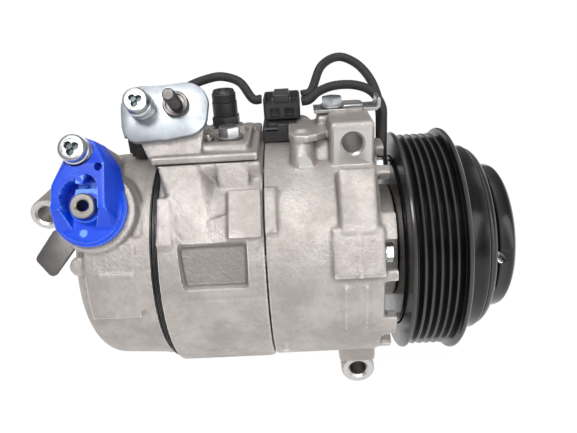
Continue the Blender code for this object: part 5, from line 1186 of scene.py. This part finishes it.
weld(plug, [
    block("plug_latch", (-110.6, 4.7, 76.8), (-103.0, 20.0, 79.0), 0, 0.7),
    block("plug_latch_lip", (-110.6, 4.4, 75.0), (-103.0, 6.2, 79.0), 0, 0.6),
    shaft_pin("plug_gland", -115.7, -114, 12.2, 71.8, 3.2, sides=32, bevel=0.4),
    block("plug_rib", (-108.2, 5.2, 67.0), (-105.4, 6.0, 73.4), 0, 0.3),
])
finished(plug, "case", "connector", 30)

RED_SEAL = plastic("red_silicone", (0.50, 0.03, 0.035), (0.36, 0.015, 0.02), 0.45)
wire_clip = block("wire_clip_body", (-181.5, -6.0, 54.0), (-173.5, 2.0, 64.0), 0, 0.9, 3)
machine(paint(wire_clip, BLACK_PLASTIC), [
    block("clip_notch", (-179.0, -8.0, 60.8), (-176.0, 4.0, 66.0), 0, 0.2),
    block("clip_step", (-183.0, -8.0, 52.0), (-178.8, -2.5, 57.0), 0, 0.2),
], bright=False)
weld(wire_clip, [pin("red_seal", (-176.0, -2.5, 57.6), (-176.0, -6.9, 57.6), 2.1, sides=28, bevel=0.5)])
for face in wire_clip.data.polygons:
    face.material_index = int(face.center.y < -6.05 * MM)
finished(paint(wire_clip, BLACK_PLASTIC, RED_SEAL), "case", "wire_clip", 30)


# Cable bracket: a strap with a turned-up end and a stiffening bead, bolted to the upper ear.
# It is pressed from zinc-plated steel sheet, and it holds the coil's leads off the belt.
BRACKET_STEEL = plated_steel("bracket_zinc", (0.50, 0.50, 0.50), (0.36, 0.365, 0.37), 0.34)
BRACKET_BOLT = (-82.5, 2.5)
bracket_profile = [(-91.0, 70.8), (-61.6, 70.8), (-60.0, 72.4), (-60.0, 76.4), (-60.3, 76.8), (-61.3, 76.8),
                   (-61.6, 76.4), (-61.6, 73.2), (-62.4, 72.4), (-91.0, 72.4), (-91.4, 72.1), (-91.4, 71.1)]
cable_bracket = slab("cable_bracket_sheet", bracket_profile, -8.6, 3.8, Matrix(), 0.25)
machine(paint(cable_bracket, BRACKET_STEEL), [
    pin("bracket_hole", (*BRACKET_BOLT, 60), (*BRACKET_BOLT, 90), 3.3, sides=48),
    block("bracket_neck", (-76.0, -6.0, 60), (-68.0, -2.4, 80), 0, 0.8),
    block("bracket_neck_b", (-76.0, 7.4, 60), (-68.0, 12.0, 80), 0, 0.8),
    pin("bracket_slot", (-65.2, 2.5, 60), (-65.2, 2.5, 90), 1.7, sides=32),
], bright=False)
weld(cable_bracket, [shaft_pin("bracket_bead", -78.0, -67.5, 2.5, 72.1, 0.9, sides=24, bevel=0.3)])
finished(cable_bracket, "case", "cable_bracket", 25)
bracket_bolt = pin("bracket_hex_bolt", (*BRACKET_BOLT, 73.4), (*BRACKET_BOLT, 77.2), 5.2, sides=6, bevel=0.4)
flange = shape_on("bracket_bolt_flange", [(71.2, 0), (71.2, 2.9), (72.7, 2.9), (72.7, 5.4), (72.95, 5.6), (73.6, 5.6),
                                          (74.0, 4.6), (74.0, 0)], upright(*BRACKET_BOLT), 48)
weld(bracket_bolt, [flange])
finished(paint(bracket_bolt, ZINC), "case", "bracket_bolt", 25)


# Through bolts: seven long hex screws that clamp the castings together, their heads in the rim's gaps.
# They are cold-headed steel with a zinc coat, threaded at the rear end.
for i in range(BOLTS):
    angle = FIRST_BOLT + 360.0 / BOLTS * i
    order = BOLTS - i
    axis = axis_frame(around(-182.2, BOLT_CIRCLE, angle), around(-50, BOLT_CIRCLE, angle))
    screw = shape_on(f"case_bolt_{order}", [(0, 0), (0, 2.4)] + threads(3.0, 0.4, 14.0, 1.0, 0.3) + [
        (15.0, 2.95), (117.7, 2.95), (117.7, 4.7), (117.95, 4.95), (118.5, 4.95), (118.8, 4.4), (118.8, 0)], axis, 32)
    hexagon = shape_on(f"case_bolt_head_{order}", [(118.5, 0), (118.5, 4.4), (121.5, 4.4), (122.05, 3.9),
                                                   (122.05, 0)], axis, 6)
    weld(screw, [hexagon])
    finished(paint(screw, ZINC), "case", f"through_bolt_{order}", 25)


# Pulley: the six-ribbed belt drum and the clutch's rotor in one piece, turned from forged steel.
# It is painted gloss black, and the belt has polished the rib tips a little.
def gloss_paint(name, light, dark, roughness, wear):
    """Stoved black paint: faint orange peel, a cloudy tone and greyer rubbed edges."""
    made, tree, shader, spot = blank_material(name, Roughness=roughness, IOR=1.5, Specular_IOR_Level=0.4)
    cloud = noise(tree, spot, 90.0, 5.0, 0.6)
    marks = effect(tree, HANDLING_MARKS, spot, Scale=90.0)
    base = tone(tree, ramp(tree, cloud, (0.35, 0.68)), dark, light)
    base = tone(tree, effect(tree, EDGE_AND_CORNER, spot)["Edge"], base, wear)
    base = tone(tree, math_node(tree, "MULTIPLY", marks["Marks"], 0.2), base, wear)
    peel = noise(tree, spot, 700.0, 2.0)
    dress(tree, shader, base, peel, 0.00001, 0.5, (cloud, roughness - 0.05, roughness + 0.12))
    return made


BLACK = gloss_paint("black_gloss_enamel", (0.008, 0.008, 0.009), (0.004, 0.004, 0.0045), 0.16, (0.05, 0.05, 0.052))
FRICTION = plated_steel("friction_face", (0.20, 0.19, 0.18), (0.11, 0.10, 0.095), 0.45, 0.9, (0.3, 0.2, 0.14))
RIM_FRONT = -26.74
GROOVES = 6
GROOVE_PITCH = 3.56
pulley_outline = [(-16.5, 29.0), (-16.5, 46.9), (-16.7, 47.5), (-17.2, 47.9), (-24.6, 47.9), (-25.8, 48.4),
                  (RIM_FRONT + 0.1, 49.6), (RIM_FRONT, 50.4), (RIM_FRONT, 55.9), (RIM_FRONT - 0.25, 56.8),
                  (RIM_FRONT - 0.8, 57.35), (RIM_FRONT - 1.5, 57.4), (RIM_FRONT - 2.1, 56.8), (RIM_FRONT - 2.5, 55.2)]
start = RIM_FRONT - 2.4
for i in range(GROOVES):
    x = start - GROOVE_PITCH * i
    crest = [(x + 0.42, 54.7), (x, 55.0)] if i else [(x - 0.5, 54.7), (x - 0.55, 55.0)]
    pulley_outline += crest + [(x - 0.62, 54.6), (x - 1.5, 52.25), (x - 1.78, 52.0), (x - 2.06, 52.25),
                               (x - 2.94, 54.6)]
pulley_outline += [(start - 21.3, 55.0), (start - 21.5, 55.6), (-51.0, 56.2), (-51.7, 56.5), (-52.4, 56.3),
                   (-52.9, 55.7), (-52.9, 44.9), (-52.5, 44.5), (-22.0, 44.5), (-22.0, 28.9), (-46.6, 28.9),
                   (-47.0, 28.5), (-47.0, 26.3), (-22.5, 26.3)]
pulley = lathe("pulley_rotor_drum", pulley_outline, 192)
slot_tools = []
for k in range(6):
    for radius, offset in ((33.2, 0), (40.4, 30)):
        slot_tools.append(sector(f"flux_slot_{k}_{offset}", -25, -12, radius, radius + 1.8, k * 60 + offset - 22,
                                 k * 60 + offset + 22, 16))
machine(paint(pulley, BLACK, FRICTION), slot_tools)
mark_relief(pulley, 2)
for face in pulley.data.polygons:
    if face.normal.x > 0.9 and face.center.x > -16.6 * MM:
        face.material_index = 1
finished(pulley, "pulley_rotor", "pulley", 30)


# Clutch coil: the fixed magnet inside the pulley, riveted to the housing's front.
# It is a pressed steel ring in black enamel, its copper winding potted in dark resin.
RESIN = plastic("potting_resin", (0.045, 0.032, 0.026), (0.028, 0.021, 0.018), 0.35)
coil_shell = lathe("coil_shell", [
    (-23.4, 43.4), (-23.8, 43.8), (-53.2, 43.8), (-54.0, 43.0), (-54.0, 18.2), (-53.7, 17.8), (-50.7, 17.8),
    (-50.4, 18.2), (-50.4, 29.6), (-23.8, 29.6), (-23.4, 29.9), (-23.4, 32.1), (-26.0, 32.1), (-26.2, 34.0),
    (-25.7, 36.7), (-26.2, 39.6), (-26.0, 41.3), (-23.4, 41.3)], 128)
coil_rivet = shaft_pin("coil_rivet", -50.6, -48.9, 0, 24, 2.2, sides=28, bevel=0.6)
weld(paint(coil_shell, BLACK, RESIN), [ringed("coil_rivets", coil_rivet, 3, 0, RESIN)])
for face in coil_shell.data.polygons:
    middle_r = math.hypot(face.center.y, face.center.z) / MM
    face.material_index = int(face.center.x > -26.4 * MM and 32.2 < middle_r < 41.2)
finished(coil_shell, "case", "clutch_coil", 30)


# Pulley bearing: one row of nine balls in a cage, between the housing's nose and the pulley.
# Its rings are ground from bearing steel, and a blackened snap ring holds it on the nose.
BEARING_STEEL = plated_steel("bearing_steel", (0.58, 0.57, 0.56), (0.44, 0.435, 0.43), 0.18)
middle_x, track, ball_r = -37.5, 21.9, 2.6
outer_ring = lathe("bearing_outer", [(-29.5, 25.6), (-29.9, 26.0), (-45.1, 26.0), (-45.5, 25.6), (-45.5, 24.8),
                                     (-39.6, 24.8), (-38.6, 25.35), (-37.5, 25.5), (-36.4, 25.35), (-35.4, 24.8),
                                     (-29.5, 24.8)])
finished(paint(outer_ring, BEARING_STEEL), "pulley_rotor", "bearing_outer_ring")
inner_ring = lathe("bearing_inner", [(-29.5, 18.2), (-29.5, 19.0), (-35.4, 19.0), (-36.4, 18.55), (-37.5, 18.4),
                                     (-38.6, 18.55), (-39.6, 19.0), (-45.5, 19.0), (-45.5, 18.2), (-45.1, 17.8),
                                     (-29.9, 17.8)])
finished(paint(inner_ring, BEARING_STEEL), "case", "bearing_inner_ring")
ball_shape = bmesh.new()
bmesh.ops.create_uvsphere(ball_shape, u_segments=24, v_segments=16, radius=ball_r * MM)
bmesh.ops.translate(ball_shape, vec=Vector((middle_x, 0, track)) * MM, verts=ball_shape.verts)
balls = ringed("race_balls", from_shape("race_ball", ball_shape), 9, 0, BEARING_STEEL)
cage = lathe("race_cage", [(-38.7, 21.2), (-38.7, 22.6), (-38.4, 22.9), (-36.6, 22.9), (-36.3, 22.6), (-36.3, 21.2),
                           (-36.6, 20.95), (-38.4, 20.95)])
weld(paint(balls, BEARING_STEEL), [cage])
finished(balls, "pulley_rotor", "bearing_balls")
snap_ring = lathe("snap_ring_body", [(-27.7, 17.9), (-27.7, 19.4), (-28.0, 19.7), (-28.8, 19.7), (-29.1, 19.4),
                                     (-29.1, 17.9), (-28.8, 17.8), (-28.0, 17.8)])
machine(paint(snap_ring, BLACK_STEEL), [block("snap_gap", (-30, -2.5, -25), (-27, 2.5, -10))], bright=False)
finished(snap_ring, "case", "bearing_snap_ring")


# Armature and hub: the disc that the coil pulls on to the rotor, and the dished hub that drives the shaft.
# Both are steel pressings in black enamel, joined through a moulded rubber ring, and a hex bolt holds the hub.
armature = lathe("armature_disc", [(-12.5, 20.8), (-12.5, 44.4), (-12.8, 45.0), (-14.3, 46.3), (-14.7, 46.5),
                                   (-15.6, 46.5), (-16.0, 46.1), (-16.0, 20.8), (-15.7, 20.5), (-12.8, 20.5)])
rivets = ringed("armature_rivets", shape_on("armature_rivet", [(0, 0), (0, 2.5), (0.7, 2.4), (1.2, 1.7), (1.3, 0)],
                                           axis_frame((-12.6 * MM, 0, 41.2 * MM), (0, 0, 41.2 * MM)), 28), 3, 20, BLACK)
weld(paint(armature, BLACK, FRICTION), [rivets])
machine(armature, [sector(f"armature_slot_{k}", -18, -11, 36.9, 38.5, k * 120 - 40, k * 120 + 40, 24)
                   for k in range(3)], bright=False)
mark_relief(armature, 2)
for face in armature.data.polygons:
    face.material_index = int(face.normal.x < -0.9 and face.center.x < -15.9 * MM)
finished(armature, "armature", "armature_plate", 30)
hub = lathe("drive_hub_disc", [
    (-0.5, 34.2), (-0.9, 35.6), (-1.9, 36.8), (-3.4, 37.3), (-8.1, 37.3), (-8.5, 36.9), (-8.5, 10.9), (-8.8, 10.5),
    (-30.0, 10.5), (-30.5, 10.1), (-30.5, 6.9), (-30.0, 6.8), (-5.0, 6.8), (-5.0, 10.0), (-4.2, 10.6), (-3.2, 11.5),
    (-3.0, 13.0), (-3.0, 27.0), (-2.6, 28.4), (-1.4, 29.4), (-0.6, 30.2), (-0.5, 31.0)], 144)
notch = rounded_rod("hub_notch", around(-8.6, 33.5, 80.5), around(-8.6, 45, 80.5), 2.5, sides=32)
machine(paint(hub, BLACK, BEARING_STEEL), [ringed("hub_notches", notch, 3, 0, BEARING_STEEL)])
machine(hub, [
    ringed("hub_windows", shaft_pin("hub_window", -15, 5, 0, 20.5, 4.2, sides=40), 3, 35, BLACK),
    ringed("hub_ports", shaft_pin("hub_port", -15, 5, 0, 20.5, 1.7, sides=28), 3, 95, BLACK),
], bright=False)
weld(hub, [
    ringed("hub_rivets", shape_on("hub_rivet", [(0, 0), (0, 2.4), (0.6, 2.3), (1.1, 1.6), (1.2, 0)],
                                  axis_frame((-3.3 * MM, 0, 25 * MM), (0, 0, 25 * MM)), 24), 6, 5, BLACK),
])
mark_relief(hub, 2)
finished(hub, "shaft_line", "hub", 30)
damper = lathe("damper_ring", [(-8.8, 29.6), (-8.8, 35.2), (-9.1, 35.6), (-9.8, 35.1), (-10.3, 34.9), (-10.9, 35.2),
                               (-11.4, 35.7), (-11.7, 35.3), (-11.7, 29.7), (-11.3, 29.3), (-10.6, 30.0),
                               (-9.8, 30.0), (-9.1, 29.3)])
finished(paint(damper, RUBBER), "shaft_line", "hub_damper")
hub_bolt = rounded_rod("hub_hex", (0, 0, 0), (-3.6 * MM, 0, 0), 7.0, sides=6, bevel=0.5)
hub_shank = lathe("hub_bolt_body", [(-3.3, 0), (-3.3, 8.2), (-3.6, 8.6), (-4.3, 8.6), (-4.7, 8.2), (-4.7, 3.0)] + [
    (-x, r) for x, r in threads(3.0, 5.0, 18.4, 1.0, 0.28)] + [(-19.0, 2.4), (-19.0, 0)], 48)
weld(hub_bolt, [hub_shank])
machine(hub_bolt, [shape_on("hub_bolt_dimple", [(-1.0, 0), (0.2, 3.4), (1, 3.4), (1, 0)],
                            axis_frame((-0.3 * MM, 0, 0), (1, 0, 0)), 40)], bright=False)
finished(paint(hub_bolt, ZINC), "shaft_line", "hub_bolt", 25)


# Inner works: shaft, bearings, seal, lug plate, spring, wobble plate, journal, pistons and control valve.
# They are turned or ground steel, except the cast aluminium wobble plate and pistons, and the rubber seals.
PISTON_SKIN = milled_metal("piston_skin", (0.62, 0.60, 0.585), 0.32, 1800.0)
SHAFT_STEEL = plated_steel("ground_shaft_steel", (0.50, 0.495, 0.49), (0.38, 0.375, 0.37), 0.2)
inner_works = {
    "drive_shaft": SHAFT_STEEL, "front_shaft_bearing": BEARING_STEEL, "rear_shaft_bearing": BEARING_STEEL,
    "thrust_bearing": BEARING_STEEL, "shaft_seal": RUBBER, "lug_plate": SHAFT_STEEL, "return_spring": BLACK_STEEL,
    "wobble_plate": PISTON_SKIN, "drive_journal": SHAFT_STEEL, "control_valve": TURNED_STEEL, "body_o_ring": RUBBER,
}
inner_works.update({f"piston_{i}": PISTON_SKIN for i in range(1, 8)})
for name, finish in inner_works.items():
    paint(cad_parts[name], finish)


# Floor, lights and camera: a pale studio sweep, a high key light on the left, and three smaller lamps.
# The narrow front lamp draws the streaks along the pulley's ribs and the hub.
def lamp(name, spot, aim, size, power):
    """A rectangular lamp at a spot in metres, turned towards its aim."""
    data = bpy.data.lights.new(name, "AREA")
    data.shape = "RECTANGLE"
    data.size, data.size_y = size
    data.energy = power
    obj = place(bpy.data.objects.new(name, data))
    obj.location = spot
    obj.rotation_euler = (Vector(aim) - Vector(spot)).to_track_quat("-Z", "Y").to_euler()
    return obj


floor = block("studio_floor", (-60000, -60000, -80.0), (60000, 60000, -77.0))
floor_finish = blank_material(
    "pale_floor", Base_Color=(0.06, 0.06, 0.06), Roughness=0.65, Specular_IOR_Level=0.2,
    Emission_Color=(1.0, 1.0, 1.0), Emission_Strength=0.97)[0]
paint(floor, floor_finish)
world = bpy.data.worlds.new("studio")
bpy.context.scene.world = world
world.use_nodes = True
sky = world.node_tree.nodes["Background"]
sky.inputs["Color"].default_value = (1.0, 1.0, 1.0, 1.0)
sky.inputs["Strength"].default_value = 0.25
middle = (-0.1, 0.0, 0.0)
lamp("key_light", (-0.35, -0.72, 0.98), middle, (0.4, 0.4), 8.5)
lamp("side_light", (0.55, -0.6, 0.35), middle, (0.2, 0.7), 1.4)
lamp("front_light", (0.05, -0.7, 0.42), (-0.04, 0, 0), (0.3, 0.03), 1.6)
lamp("top_light", (-0.1, 0.15, 0.9), middle, (0.9, 0.5), 2.0)
bpy.context.scene.view_settings.view_transform = "Standard"

eye = bpy.data.cameras.new("camera")
eye.sensor_width = 36.0
eye.lens = 32.319
camera = place(bpy.data.objects.new("camera", eye))
camera.matrix_world = Matrix((
    (0.99840222, 0.05176576, 0.02265624, -0.1005),
    (-0.00137603, 0.42310238, -0.90608084, -0.2467839),
    (-0.05648987, 0.90460195, 0.42249759, 0.1312173),
    (0.0, 0.0, 0.0, 1.0),
))
bpy.context.scene.camera = camera
